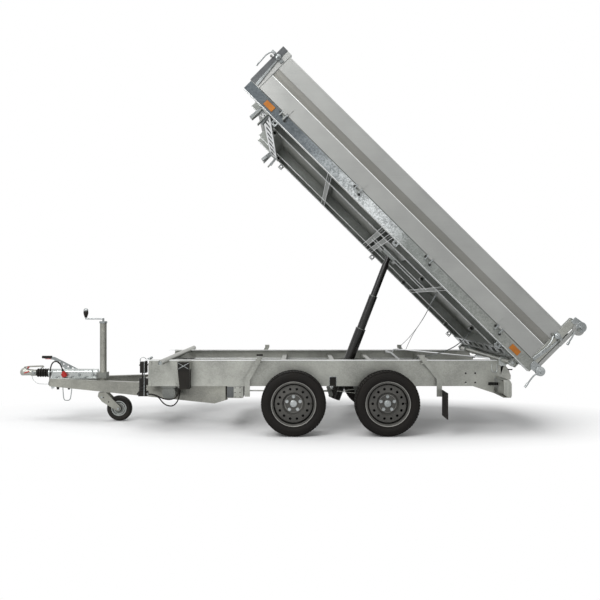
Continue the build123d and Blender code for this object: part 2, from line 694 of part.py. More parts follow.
# ROAD WHEELS
hub_bore = spindle_diameter / 2 + clearance
for end, wheel_x in (("front", axle_xs[0]), ("rear", axle_xs[1])):
    for hand, side in (("left", -1), ("right", 1)):
        place = Location((wheel_x, side * track_half, axle_z))
        half = tyre_width / 2
        rim_r = rim_diameter / 2
        tread_r = tyre_diameter / 2
        with BuildPart() as tyre:
            with BuildSketch(Plane.XY) as section:
                with BuildLine():
                    low = Line((rim_r - 14, -half + 26), (rim_r - 14, half - 26))
                    rise = Line(low @ 1, (rim_r, half - 22))
                    wall = ThreePointArc(rise @ 1, (rim_r + 32, half), (tread_r - 16, half - 10))
                    shoulder = Line(wall @ 1, (tread_r - 1, half - 28))
                    tread = Line(shoulder @ 1, (tread_r - 1, -half + 28))
                    shoulder_2 = Line(tread @ 1, (tread_r - 16, -half + 10))
                    wall_2 = ThreePointArc(shoulder_2 @ 1, (rim_r + 32, -half), (rim_r, -half + 22))
                    Line(wall_2 @ 1, low @ 0)
                make_face()
            revolve(section.sketch, Axis.Y)
            with BuildSketch(Plane.XZ.offset(-(half - 34))) as band:
                Circle(tread_r)
                Circle(tread_r - 4, mode=Mode.SUBTRACT)
            extrude(band.sketch, amount=2 * (half - 34))
        tyre.part.move(place)
        finish(tyre, f"tyre_{end}_{hand}")
        with BuildPart() as rim:
            with BuildSketch(Plane.XY) as section:
                with BuildLine():
                    Polyline((rim_r - 14 - rim_wall, -half + 26), (rim_r - 14, -half + 26),
                             (rim_r - 14, half - 26), (rim_r, half - 22), (rim_r, half - 18),
                             (rim_r - 14 - rim_wall, half - 22), close=True)
                make_face()
                with BuildLine():
                    Polyline((hub_bore, 36), (hub_bore, 42), (78, 42), (92, 62), (150, 54), (rim_r - 16, 30),
                             (rim_r - 16, 20), (146, 46), (96, 54), (84, 34), close=True)
                make_face()
            revolve(section.sketch, Axis.Y)
            with Locations(Location((0, 50, 0), (90, 0, 0))):
                with PolarLocations(rim_hole_circle, rim_hole_count):
                    Cylinder(rim_hole_diameter / 2, 60, mode=Mode.SUBTRACT)
        if side < 0:
            rim.part = rim.part.mirror(Plane.XZ)
        rim.part.move(place)
        finish(rim, f"rim_{end}_{hand}")

# MUD FLAPS AND THEIR STAYS
stay_y = rail_outer_y + stay_offset
with BuildPart() as guard_stays:
    for top_x, elbow_x in stay_table:
        for side in (-1, 1):
            bar = sorted((side * stay_y, side * (stay_y + stay_wall)))
            foot = sorted((side * rail_outer_y, side * (stay_y + stay_wall)))
            shift = stay_foot_shift if elbow_x > top_x else -stay_foot_shift
            far_top_x, far_elbow_x = top_x + stay_width, elbow_x + stay_width
            side_profile(((top_x, stay_top_z), (far_top_x, stay_top_z), (far_top_x, stay_top_z - 24),
                          (far_elbow_x, stay_elbow_z[0]), (far_elbow_x, stay_bottom_z),
                          (elbow_x, stay_bottom_z), (elbow_x, stay_elbow_z[1]),
                          (top_x, stay_top_z - 24)), bar)
            block((top_x + shift, far_top_x + shift), foot, stay_foot_z)
finish(guard_stays, "guard_stays")

with BuildPart() as mudflaps:
    flap_x = stay_table[1][1] + stay_width
    for side in (-1, 1):
        wide = sorted((side * stay_y, side * (stay_y + flap_width)))
        block((flap_x, flap_x + flap_wall), wide, flap_z)
finish(mudflaps, "mudflaps")

# REAR LIGHT BEAM
lamp_outer_y = tipping_tube_half - lamp_inset
with BuildPart() as light_beam:
    with BuildSketch(Plane.XZ.offset(-tipping_tube_half)) as section:
        with BuildLine():
            Polyline((beam_x[0], beam_bottom_z), (beam_x[1], beam_bottom_z),
                     (beam_x[1], beam_top_z - beam_bevel[1]), (beam_x[1] - beam_bevel[0], beam_top_z),
                     (beam_x[0], beam_top_z), close=True)
        make_face()
        with BuildLine():
            inner_x = beam_x[1] - beam_wall
            Polyline((beam_x[0] - 1, beam_bottom_z + beam_wall), (inner_x, beam_bottom_z + beam_wall),
                     (inner_x, beam_top_z - beam_bevel[1] - 2), (inner_x - 12, beam_top_z - beam_wall),
                     (beam_x[0] - 1, beam_top_z - beam_wall), close=True)
        make_face(mode=Mode.SUBTRACT)
    extrude(section.sketch, amount=2 * tipping_tube_half)
    for side in (-1, 1):
        window = sorted((side * lamp_outer_y, side * (lamp_outer_y - lamp_length)))
        block((beam_x[1] - beam_wall - 1, beam_x[1] + 1), window, lamp_z, Mode.SUBTRACT)
finish(light_beam, "light_beam")

with BuildPart() as beam_brackets:
    for side in (-1, 1):
        web = sorted((side * rail_outer_y, side * (rail_outer_y - bracket_wall)))
        side_profile(((beam_x[0] - bracket_run, rail_bottom_z), (beam_x[0], beam_bottom_z),
                      (beam_x[0], rail_bottom_z)), web)
finish(beam_brackets, "beam_brackets")

with BuildPart() as tail_lamps:
    for side in (-1, 1):
        wide = sorted((side * (lamp_outer_y - clearance), side * (lamp_outer_y - lamp_length + clearance)))
        block((beam_x[1] - lamp_depth, beam_x[1] + 3), wide, (lamp_z[0] + clearance, lamp_z[1] - clearance))
finish(tail_lamps, "tail_lamps")

# TIPPING CYLINDER
head_x, head_z = on_bed(-head_forward, head_height)
cylinder_lean = degrees(atan2(head_x - trunnion_x, head_z - trunnion_z))
cylinder_place = Location((trunnion_x, 0, trunnion_z), (0, cylinder_lean, 0))
reach_up = hypot(head_x - trunnion_x, head_z - trunnion_z)
reach_down = hypot(hinge_x - head_forward - trunnion_x, hinge_z + head_height - trunnion_z)
stage_stroke = (reach_up - reach_down) / len(stage_diameters)

with BuildPart() as cylinder_barrel:
    with Locations((0, 0, -barrel_below)):
        Cylinder(barrel_diameter / 2, barrel_below + barrel_above,
                 align=(Align.CENTER, Align.CENTER, Align.MIN))
    with Locations((0, 0, -collar_height)):
        Cylinder(barrel_diameter / 2 + collar_over, 2 * collar_height,
                 align=(Align.CENTER, Align.CENTER, Align.MIN))
    rod_along_y(0, 0, trunnion_pin / 2, (-cradle_plate_y + clearance, cradle_plate_y - clearance))
    with Locations((0, 0, barrel_floor - barrel_below)):
        Cylinder(stage_diameters[0] / 2 + clearance, barrel_below + barrel_above,
                 align=(Align.CENTER, Align.CENTER, Align.MIN), mode=Mode.SUBTRACT)
finish(cylinder_barrel, "cylinder_barrel", cylinder_place)

for index, diameter in enumerate(stage_diameters):
    number = index + 1
    run_out = number * stage_stroke
    bottom = barrel_floor - barrel_below + number * stage_step + run_out
    top = barrel_above + number * stage_lip + run_out
    with BuildPart() as stage:
        with Locations((0, 0, bottom)):
            Cylinder(diameter / 2, top - bottom, align=(Align.CENTER, Align.CENTER, Align.MIN))
        if number < len(stage_diameters):
            with Locations((0, 0, bottom - 1)):
                Cylinder(stage_diameters[number] / 2 + clearance, top - bottom + 2,
                         align=(Align.CENTER, Align.CENTER, Align.MIN), mode=Mode.SUBTRACT)
        else:
            with Locations((0, 0, top)):
                Cylinder(head_neck / 2, reach_up - top, align=(Align.CENTER, Align.CENTER, Align.MIN))
            with Locations((0, 0, reach_up)):
                Sphere(head_diameter / 2)
            rod_along_y(0, reach_up, head_pin_radius, (-head_cheek_y + clearance, head_cheek_y - clearance))
    finish(stage, f"cylinder_stage_{number}", cylinder_place)

# BED FRAME
floor_under = floor_top - floor_thickness
rail_run = (-bed_front + 10, bed_back - bed_end_inset)
rail_inside_y = bed_half_width - bed_wall
with BuildPart() as bed_frame:
    for side in (-1, 1):
        web = sorted((side * bed_half_width, side * rail_inside_y))
        flange = sorted((side * bed_half_width, side * (bed_half_width - bed_rail_flange)))
        block(rail_run, web, (bed_rail_bottom, floor_top))
        block(rail_run, flange, (bed_rail_bottom, bed_rail_bottom + bed_wall))
        block(rail_run, flange, (floor_under - bed_wall, floor_under))
        for middle, run in ((centre_beam_y, (-bearer_places[2], -bearer_places[0])),
                            (outer_beam_y, (-bed_front + 60, -20))):
            strip = sorted((side * (middle - beam_width / 2), side * (middle + beam_width / 2)))
            stem = sorted((side * (middle - bed_wall / 2), side * (middle + bed_wall / 2)))
            block(run, strip, (bed_rail_bottom, bed_rail_bottom + bed_wall))
            block(run, stem, (bed_rail_bottom, floor_under))
    for forward in bearer_places:
        block((-forward - bed_wall / 2, -forward + bed_wall / 2), (-rail_inside_y, rail_inside_y),
              (bed_rail_bottom, floor_under))
        block((-forward - beam_width / 2, -forward + beam_width / 2), (-outer_beam_y, outer_beam_y),
              (bed_rail_bottom, bed_rail_bottom + bed_wall))
    for front in slotted_beam_fronts:
        back = front + slotted_beam_width
        wide = (-rail_inside_y, rail_inside_y)
        block((front, back), wide, (slotted_beam_bottom, slotted_beam_bottom + bed_wall))
        block((front, front + bed_wall), wide, (slotted_beam_bottom, floor_under))
        block((back - bed_wall, back), wide, (slotted_beam_bottom, floor_under))
        with Locations(((front + back) / 2, 0, slotted_beam_bottom + bed_wall / 2)):
            with GridLocations(1, slot_pitch, 1, slot_count):
                Box(*slot_size, 3 * bed_wall, mode=Mode.SUBTRACT)
    for side in (-1, 1):
        cheek = sorted((side * head_cheek_y, side * (head_cheek_y + head_cheek_wall)))
        block((-head_forward - head_cheek_half, -head_forward + head_cheek_half), cheek,
              (head_cheek_bottom, floor_under))
        gusset = sorted((side * centre_beam_y, side * outer_beam_y))
        block((-head_forward - 100, -head_forward + 100), gusset,
              (bed_rail_bottom + 24, bed_rail_bottom + 24 + bed_wall))
        tie = sorted((side * head_cheek_y, side * (centre_beam_y + beam_width / 2)))
        for x in (-head_forward - head_cheek_half, -head_forward + head_cheek_half - bed_wall):
            block((x, x + bed_wall), tie, (bed_rail_bottom, floor_under))
    for side in (-1, 1):
        for x in (front_tube_x - hinge_x, 0.0):
            cheek = sorted((side * rail_inside_y, side * (rail_inside_y - saddle_leg_width)))
            inner = tube_radius + (running_gap if x < 0 else clearance)
            low = saddle_leg_reach[0] if x < 0 else saddle_leg_reach[1]
            for leg in (-1, 1):
                span = sorted((x + leg * inner, x + leg * (inner + saddle_leg_wall)))
                block(span, cheek, (low, bed_rail_bottom + 6))
            block((x - inner - saddle_leg_wall, x + inner + saddle_leg_wall), cheek,
                  (tube_radius + clearance, bed_rail_bottom + 6))
    head_room = head_cheek_half - bed_wall
    block((-head_forward - head_room, -head_forward + head_room), (-head_cheek_y, head_cheek_y),
          (bed_rail_bottom - 10, floor_under), Mode.SUBTRACT)
finish(bed_frame, "bed_frame", bed_place)

with BuildPart() as bed_floor:
    block((-bed_front + 40, bed_back - bed_end_inset), (-rail_inside_y, rail_inside_y),
          (floor_under, floor_top))
finish(bed_floor, "bed_floor", bed_place)

# WALLS OF THE BED
board_top = floor_top + board_height
board_bottom = floor_top + board_gap
board_front = -bed_front + post_length + board_gap
board_back = bed_back - post_length - board_gap
hinge_axis_y = bed_half_width + board_hinge_axis_out
hinge_axis_z = floor_top - board_hinge_axis_drop
pin_radius = board_hinge_pin / 2
board_section = ((board_thickness, 0), (board_thickness, groove_bottom),
                 (board_thickness - 2, groove_bottom + 3),
                 (board_thickness - groove_depth, groove_bottom + 4),
                 (board_thickness - groove_depth, groove_top - 48), (board_thickness - 10, groove_top - 8),
                 (board_thickness, groove_top), (board_thickness, board_height - board_gap),
                 (0, board_height - board_gap), (0, 0))


def board_face(side):
    """The section of a board, flat inside and with one long groove outside."""
    inner = bed_half_width - board_thickness
    return [(side * (inner + depth), board_bottom + height) for depth, height in board_section]


for hand, side in (("left", -1), ("right", 1)):
    with BuildPart() as side_board:
        with BuildSketch(Plane.YZ.offset(board_front)) as section:
            with BuildLine():
                Polyline(*board_face(side), close=True)
            make_face()
        extrude(section.sketch, amount=board_back - board_front)
        for forward in hinge_places:
            strap = sorted((side * bed_half_width, side * (bed_half_width + board_hinge_wall)))
            block((-forward - 30, -forward + 30), strap, (board_bottom + 2, board_bottom + 60))
            knuckle = (-forward - board_hinge_knuckle, -forward + board_hinge_knuckle)
            with Locations(Location((-forward, side * hinge_axis_y, hinge_axis_z), (0, 90, 0))):
                Cylinder(pin_radius + board_hinge_wall, 2 * board_hinge_knuckle)
            leaf = sorted((side * bed_half_width, side * (hinge_axis_y + 2)))
            block(knuckle, leaf, (hinge_axis_z + 6, board_bottom + 12))
            with Locations(Location((-forward, side * hinge_axis_y, hinge_axis_z), (0, 90, 0))):
                Cylinder(pin_radius + clearance, 60, mode=Mode.SUBTRACT)
    finish(side_board, f"side_board_{hand}", bed_place)

with BuildPart() as board_hinges:
    for side in (-1, 1):
        for forward in hinge_places:
            with Locations(Location((-forward, side * hinge_axis_y, hinge_axis_z), (0, 90, 0))):
                Cylinder(pin_radius, 4 * board_hinge_knuckle)
            for end in (-1, 1):
                inner_x = -forward + end * (board_hinge_knuckle + 2)
                cheek = sorted((inner_x, inner_x + end * 10))
                reach = sorted((side * bed_half_width, side * (hinge_axis_y + 9)))
                block(cheek, reach, (hinge_axis_z - 40, hinge_axis_z + 8))
finish(board_hinges, "board_hinges", bed_place)

wall_half = bed_half_width - post_width
rib_depth, rib_height = wall_rib
with BuildPart() as front_wall:
    block((-bed_front + rib_depth, -bed_front + rib_depth + board_thickness), (-wall_half, wall_half),
          (floor_top, board_top))
    for side in (-1, 1):
        wide = sorted((side * bed_half_width, side * wall_half))
        block((-bed_front, -bed_front + post_length), wide, (floor_top, board_top + post_rise))
    for z in (floor_top, board_top - rib_height):
        block((-bed_front, -bed_front + rib_depth), (-wall_half, wall_half), (z, z + rib_height))
finish(front_wall, "front_wall", bed_place)

ear_low, ear_high = tailgate_pivot_height - 30, tailgate_pivot_height + 30
with BuildPart() as rear_posts:
    for side in (-1, 1):
        wide = sorted((side * bed_half_width, side * wall_half))
        block((bed_back - post_length, bed_back - bed_end_inset), wide, (floor_top, rear_post_height))
        ear = sorted((side * bed_half_width, side * (bed_half_width - tailgate_ear_wall)))
        rod_along_y(tailgate_pivot_back, tailgate_pivot_height, tailgate_ear_radius - 14, ear)
        side_profile(((bed_back - 60, ear_low), (tailgate_pivot_back, ear_low),
                      (tailgate_pivot_back, ear_high), (bed_back - 60, ear_high)), ear)
        rod_along_y(tailgate_pivot_back, tailgate_pivot_height, tailgate_pivot_radius,
                    sorted((side * (bed_half_width - tailgate_ear_wall), side * (bed_half_width + 22))))
finish(rear_posts, "rear_posts", bed_place)

gate_x = (bed_back - board_thickness, bed_back)
gate_ear_y = (bed_half_width + 2, bed_half_width + 2 + tailgate_ear_wall)
strap_bottom = board_top - tailgate_strap
with BuildPart() as tailgate:
    block(gate_x, (-bed_half_width, bed_half_width), (floor_top - gate_overlap, board_top))
    for side in (-1, 1):
        ear = sorted((side * gate_ear_y[0], side * gate_ear_y[1]))
        rod_along_y(tailgate_pivot_back, tailgate_pivot_height, tailgate_ear_radius, ear)
        block(gate_x, ear, (strap_bottom, tailgate_pivot_height))
        block(gate_x, sorted((side * (bed_half_width - 5), side * gate_ear_y[1])),
              (strap_bottom, strap_bottom + tailgate_strap / 2))
        rod_along_y(tailgate_pivot_back, tailgate_pivot_height, tailgate_pivot_radius + clearance,
                    sorted((side * (gate_ear_y[0] - 1), side * (gate_ear_y[1] + 1))), Mode.SUBTRACT)
finish(tailgate, "tailgate", bed_place)

with BuildPart() as side_reflectors:
    for side in (-1, 1):
        face = sorted((side * bed_half_width, side * (bed_half_width + 8)))
        for forward in reflector_places:
            block((-forward - reflector_half, -forward + reflector_half), face, reflector_z)
finish(side_reflectors, "side_reflectors", bed_place)

with BuildPart() as lashing_eyes:
    for side in (-1, 1):
        eye_y = side * (bed_half_width - 12)
        foot = sorted((eye_y - eye_wall / 2, eye_y + eye_wall / 2))
        for forward in eye_places:
            with Locations(Location((-forward, eye_y, bed_rail_bottom - eye_radius), (90, 0, 0))):
                Cylinder(eye_radius, eye_wall)
                Cylinder(eye_bore, eye_wall + 2, mode=Mode.SUBTRACT)
            block((-forward - 14, -forward + 14), foot, (bed_rail_bottom - 4, bed_rail_bottom))
finish(lashing_eyes, "lashing_eyes", bed_place)
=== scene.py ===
from contextlib import contextmanager
from math import cos, pi, radians, sin
import bmesh
import bpy
from mathutils import Matrix, Vector


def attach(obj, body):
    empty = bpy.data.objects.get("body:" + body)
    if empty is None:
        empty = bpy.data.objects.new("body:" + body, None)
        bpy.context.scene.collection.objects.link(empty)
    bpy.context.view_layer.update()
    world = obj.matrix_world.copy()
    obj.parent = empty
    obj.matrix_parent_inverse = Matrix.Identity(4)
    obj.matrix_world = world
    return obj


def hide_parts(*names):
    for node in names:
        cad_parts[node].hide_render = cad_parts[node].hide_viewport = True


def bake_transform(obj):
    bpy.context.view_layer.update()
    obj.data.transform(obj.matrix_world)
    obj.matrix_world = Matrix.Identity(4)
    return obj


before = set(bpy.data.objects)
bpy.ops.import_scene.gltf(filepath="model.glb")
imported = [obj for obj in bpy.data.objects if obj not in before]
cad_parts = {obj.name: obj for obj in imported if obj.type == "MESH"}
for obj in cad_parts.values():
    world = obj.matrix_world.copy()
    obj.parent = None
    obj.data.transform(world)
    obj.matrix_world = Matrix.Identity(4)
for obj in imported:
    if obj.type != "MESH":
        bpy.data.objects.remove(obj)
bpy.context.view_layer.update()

print("frame loaded")

# The camera comes first: the trailer is seen square from its left side.
shot = {"place": (0.160, -6.370, 1.095), "lens": 41.46, "sensor": 36.0, "farLimit": 100.0}


def placeObject(name, data):
    item = bpy.data.objects.new(name, data)
    bpy.context.scene.collection.objects.link(item)
    return item


camera = placeObject("camera", bpy.data.cameras.new("camera"))
camera.location = shot["place"]
camera.rotation_euler = (pi / 2, 0, 0)
camera.data.lens = shot["lens"]
camera.data.sensor_width = shot["sensor"]
camera.data.clip_end = shot["farLimit"]
bpy.context.scene.camera = camera
bpy.context.scene.view_settings.view_transform = "Standard"


def linearColour(hexValue):
    parts = [int(hexValue[i:i + 2], 16) / 255 for i in (0, 2, 4)]
    return tuple(c / 12.92 if c <= 0.04045 else ((c + 0.055) / 1.055) ** 2.4 for c in parts) + (1.0,)


def addNode(tree, kind, settings=None, links=None):
    node = tree.nodes.new(kind)
    for key, value in (settings or {}).items():
        if isinstance(key, str) and hasattr(node, key):
            setattr(node, key, value)
        else:
            node.inputs[key].default_value = value
    for key, source in (links or {}).items():
        tree.links.new(source, node.inputs[key])
    return node


def startMaterial(name):
    material = bpy.data.materials.new(name)
    material.use_nodes = True
    tree = material.node_tree
    tree.nodes.clear()
    place = addNode(tree, "ShaderNodeTexCoord").outputs["Object"]
    return material, tree, place


def endMaterial(material, tree, colour, roughness, height=None, relief=0.0005, metallic=0.0, **sockets):
    shader = addNode(tree, "ShaderNodeBsdfPrincipled", {"Metallic": metallic})
    for key, value in sockets.items():
        shader.inputs[key.replace("_", " ")].default_value = value
    for socket, source in (("Base Color", colour), ("Roughness", roughness)):
        if hasattr(source, "is_linked"):
            tree.links.new(source, shader.inputs[socket])
        else:
            shader.inputs[socket].default_value = source
    if height is not None:
        bump = addNode(tree, "ShaderNodeBump", {"Distance": relief, "Strength": 1.0}, {"Height": height})
        tree.links.new(bump.outputs["Normal"], shader.inputs["Normal"])
    addNode(tree, "ShaderNodeOutputMaterial", links={"Surface": shader.outputs["BSDF"]})
    return material


def ramp(tree, source, stops):
    node = addNode(tree, "ShaderNodeValToRGB", links={"Fac": source})
    band = node.color_ramp
    while len(band.elements) < len(stops):
        band.elements.new(0.5)
    for element, (position, colour) in zip(band.elements, stops):
        element.position = position
        element.color = linearColour(colour) if isinstance(colour, str) else (colour, colour, colour, 1)
    return node.outputs["Color"]


# Real sizes of the surfaces' patterns, in millimetres.
pattern = {"runOff": 277.8, "zincGrain": 6.25, "sheetCloud": 454.5, "rollingPatch": 250.0, "dust": 111.1}
rollingStretch = (0.6, 1.0, 260.0)  # draws the patches out into lines along the board


def galvanised(name, dark, light, crystal, roughness):
    # Hot-dip galvanised steel: zinc crystals of slightly different greys, satin, with cloudy run-off.
    material, tree, place = startMaterial(name)
    cells = addNode(tree, "ShaderNodeTexVoronoi", {"Scale": 1000 / crystal}, {"Vector": place})
    clouds = addNode(tree, "ShaderNodeTexNoise", {"Scale": 1000 / pattern["runOff"], "Detail": 4.0},
                     {"Vector": place})
    split = addNode(tree, "ShaderNodeSeparateColor", links={"Color": cells.outputs["Color"]})
    both = addNode(tree, "ShaderNodeMath", {"operation": "MULTIPLY_ADD", 1: 0.14},
                   {0: split.outputs["Red"], 2: clouds.outputs["Fac"]})
    colour = ramp(tree, both.outputs["Value"], ((0.38, dark), (0.80, light)))
    gloss = ramp(tree, both.outputs["Value"], ((0.3, roughness - 0.08), (1.0, roughness + 0.12)))
    grain = addNode(tree, "ShaderNodeTexNoise", {"Scale": 1000 / pattern["zincGrain"], "Detail": 3.0},
                    {"Vector": place})
    return endMaterial(material, tree, colour, gloss, grain.outputs["Fac"], 0.0003, metallic=0.75)


# Dark and light grey, crystal size in millimetres (drawn coarse enough to show) and roughness.
zincFrame = galvanised("hot_dip_galvanised_steel", "8C8D87", "B1B2AB", 9.0, 0.40)
zincDraw = galvanised("galvanised_box_section", "7E7E78", "A4A49B", 9.0, 0.38)
zincBed = galvanised("galvanised_bed_steel", "777A76", "90938F", 12.0, 0.45)
zincDark = galvanised("dark_galvanised_steel", "626462", "82847F", 7.0, 0.50)
zincSheet = galvanised("galvanised_floor_sheet", "5C5E58", "767870", 14.0, 0.38)
zincBright = galvanised("zinc_plated_steel", "7C8080", "B6BABA", 5.0, 0.28)
# Near-white zinc: painted highlight, for thin edges, lips, rods and faces that are to look lit.
paintedHighlightZinc = galvanised("painted_highlight_zinc", "F0F2F2", "FCFDFD", 5.0, 0.40)
zincPost = galvanised("dark_post_steel", "484A4C", "666868", 6.0, 0.50)
# A lighter copy of the zinc: painted sheen on parts that are to look lit.
paintedSheenZinc = galvanised("painted_sheen_zinc", "A2A6A4", "CCD0CE", 5.0, 0.32)


def anodised(name, dark, light, turn):
    # Anodised aluminium sheet: rolling lines about 1 mm apart along the board, under a clear satin skin.
    material, tree, place = startMaterial(name)
    lined = addNode(tree, "ShaderNodeMapping", {"Rotation": (0, -turn, 0), "Scale": rollingStretch},
                    {"Vector": place})
    lines = addNode(tree, "ShaderNodeTexNoise", {"Scale": 1000 / pattern["rollingPatch"], "Detail": 2.0},
                    {"Vector": lined.outputs["Vector"]})
    clouds = addNode(tree, "ShaderNodeTexNoise", {"Scale": 1000 / pattern["sheetCloud"], "Detail": 4.0},
                     {"Vector": place})
    both = addNode(tree, "ShaderNodeMath", {"operation": "MULTIPLY_ADD", 1: 0.35},
                   {0: lines.outputs["Fac"], 2: clouds.outputs["Fac"]})
    colour = ramp(tree, both.outputs["Value"], ((0.35, dark), (1.0, light)))
    gloss = ramp(tree, lines.outputs["Fac"], ((0.3, 0.34), (0.8, 0.5)))
    return endMaterial(material, tree, colour, gloss, lines.outputs["Fac"], 0.00012, metallic=0.7)


tipTurn = radians(44.8)  # the bed's tilt in the photo
boardMetal = anodised("anodised_aluminium", "8D8E8C", "A9AAA7", tipTurn)
# Darker copies of the board for the groove's slope and floor: painted shade in the groove.
boardSlopeShade = anodised("anodised_painted_shade_slope", "74746F", "888782", tipTurn)
boardShade = anodised("anodised_painted_shade_floor", "6E6E69", "86857F", tipTurn)


def moulded(name, dark, light, grit, roughness, relief=0.0004, **sockets):
    # Moulded or coated surface: an even colour with a fine grain and faint dust.
    material, tree, place = startMaterial(name)
    clouds = addNode(tree, "ShaderNodeTexNoise", {"Scale": 1000 / pattern["dust"], "Detail": 6.0},
                     {"Vector": place})
    grain = addNode(tree, "ShaderNodeTexNoise", {"Scale": 1000 / grit, "Detail": 2.0}, {"Vector": place})
    colour = ramp(tree, clouds.outputs["Fac"], ((0.3, dark), (0.75, light)))
    gloss = ramp(tree, clouds.outputs["Fac"], ((0.3, roughness - 0.06), (0.75, roughness + 0.08)))
    return endMaterial(material, tree, colour, gloss, grain.outputs["Fac"], relief, **sockets)


# Dark and light shade, grain size in millimetres, roughness and depth of the grain in metres.
tyreRubber = moulded("tyre_rubber", "0E0C0A", "1A1714", 1.4, 0.78, Specular_IOR_Level=0.22)
softRubber = moulded("moulded_rubber", "16140F", "24211D", 1.2, 0.62, Specular_IOR_Level=0.25)
blackPlastic = moulded("grained_polypropylene", "12110E", "201D18", 0.9, 0.5, Specular_IOR_Level=0.22)
blackPaint = moulded("satin_black_paint", "111110", "1E1D1B", 2.0, 0.24, 0.0001, Specular_IOR_Level=0.42)
wheelEnamel = moulded("silver_wheel_enamel", "3E3D3A", "52514D", 2.5, 0.40, 0.0001, metallic=0.35)
# Lighter enamel for the rims' lips: a painted highlight on them.
rimHighlight = moulded("silver_enamel_painted_highlight", "7A7975", "9A9994", 2.5, 0.35, 0.0001, metallic=0.45)
redPlastic = moulded("red_nylon", "8E1512", "B5231C", 1.5, 0.36, 0.0001)
amberLens = moulded("amber_acrylic", "8A4A02", "B46E08", 3.0, 0.30, 0.0001)
redLens = moulded("red_acrylic", "7A0B0B", "A81512", 3.0, 0.16, 0.0001)
print("materials made")

# Cords: each route's points are the tube's own, in metres, and serve as the spline's control points.
cordTable = {
    "pump_hose_1": {"diameter": 0.0105, "material": softRubber, "slot": "black_rubber", "end": "object",
                    "stiffness": "medium", "lay": "hanging", "length": 0.365,
                    "route": ((-1.130, -0.540, 0.302), (-1.070, -0.540, 0.302), (-0.985, -0.600, 0.268),
                              (-0.905, -0.606, 0.262), (-0.853, -0.595, 0.300), (-0.853, -0.595, 0.361))},
    "pump_hose_2": {"diameter": 0.0105, "material": softRubber, "slot": "black_rubber", "end": "object",
                    "stiffness": "medium", "lay": "hanging", "length": 0.449,
                    "route": ((-1.130, -0.512, 0.296), (-1.055, -0.512, 0.296), (-0.975, -0.590, 0.215),
                              (-0.890, -0.600, 0.205), (-0.846, -0.575, 0.285), (-0.846, -0.575, 0.361))},
    "plug_lead": {"diameter": 0.012, "material": softRubber, "slot": "black_rubber", "end": "plug",
                  "stiffness": "limp", "lay": "loose", "length": 0.339,
                  "route": ((-2.1265, -0.051, 0.342), (-2.1265, -0.051, 0.415), (-2.118, -0.058, 0.488),
                            (-2.092, -0.062, 0.534), (-2.042, -0.065, 0.533), (-2.014, -0.0652, 0.484),
                            (-2.002, -0.0652, 0.444))},
    "breakaway_wire": {"diameter": 0.004, "material": zincBright, "slot": "galvanised_steel", "end": "object",
                       "stiffness": "medium", "lay": "loose", "length": 0.197,
                       "route": ((-2.300, -0.026, 0.396), (-2.288, -0.034, 0.360), (-2.244, -0.042, 0.330),
                                 (-2.195, -0.048, 0.326), (-2.138, -0.048, 0.326))},
}


def tubeCurve(name, points, radius, steps, roundness):
    curve = bpy.data.curves.new(name, "CURVE")
    curve.dimensions = "3D"
    line = curve.splines.new("NURBS")
    line.points.add(len(points) - 1)
    for point, place in zip(line.points, points):
        point.co = (*place, 1)
    line.order_u = 3
    line.use_endpoint_u = True
    line.resolution_u = steps
    curve.bevel_depth = radius
    curve.bevel_resolution = roundness
    curve.use_fill_caps = True
    return curve


def makeCord(name, given):
    curve = tubeCurve(name + "_line", given["route"], given["diameter"] / 2, steps=10, roundness=4)
    curve.materials.append(given["material"])
    piece = placeObject(name + "_line", curve)
    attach(piece, "root")
    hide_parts(name)
    return piece


cordPieces = {name: makeCord(name, given) for name, given in cordTable.items()}
print("cords made")

# CAD nodes keep their shape and get these finishes. The tyres' solids are replaced further down.
hands = {"left": -1, "right": 1}
finishes = {
    zincFrame: ["chassis_frame", "tipping_tube_front", "tipping_tube_rear", "side_covers", "chock_holders",
                "axle_front", "axle_rear", "guard_stays", "light_beam", "beam_brackets", "coupling_head"],
    # The housing's lighter zinc is a painted sheen.
    paintedSheenZinc: ["overrun_housing"],
    zincDraw: ["drawbar", "jockey_outer_tube", "jockey_fork", "coupling_handle"],
    zincBed: ["bed_frame", "bed_floor", "rear_posts"],
    zincDark: ["power_pack", "jockey_clamp"],
    zincBright: ["board_hinges", "lashing_eyes", "jockey_leg", "draw_tube", "handbrake_lever",
                 "jockey_crank"],
    boardMetal: ["side_board_left", "side_board_right", "front_wall", "tailgate"],
    tyreRubber: [f"tyre_{end}_{hand}" for end in ("front", "rear") for hand in hands],
    wheelEnamel: [f"rim_{end}_{hand}" for end in ("front", "rear") for hand in hands],
    softRubber: ["mudflaps", "jockey_wheel"],
    blackPlastic: ["bellows", "wheel_chocks", "battery_box", "hand_pump", "cable_gland"],
    blackPaint: ["cylinder_barrel", "cylinder_stage_1", "cylinder_stage_2", "cylinder_stage_3"],
    redPlastic: ["parked_plug"],
    amberLens: ["side_reflectors"],
    redLens: ["tail_lamps"],
}
for material, names in finishes.items():
    for name in names:
        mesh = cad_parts[name].data
        mesh.materials.clear()
        mesh.materials.append(material)

# The bed's own frame: x and z along the tipped bed, from the rear tipping hinge.
hinge = Vector((1.854, 0, 0.594))
onBed = Matrix.Translation(hinge) @ Matrix.Rotation(tipTurn, 4, "Y")


def sidePair(inner, outer):
    return [sorted((side * inner, side * outer)) for side in (-1, 1)]


def onSide(points, side):
    return [(x, side * out, z) for x, out, z in points]


def addBox(bm, x, y, z):
    corners = [bm.verts.new((a, b, c)) for a in x for b in y for c in z]
    for face in ((0, 1, 3, 2), (4, 6, 7, 5), (0, 4, 5, 1), (2, 3, 7, 6), (0, 2, 6, 4), (1, 5, 7, 3)):
        bm.faces.new([corners[i] for i in face])


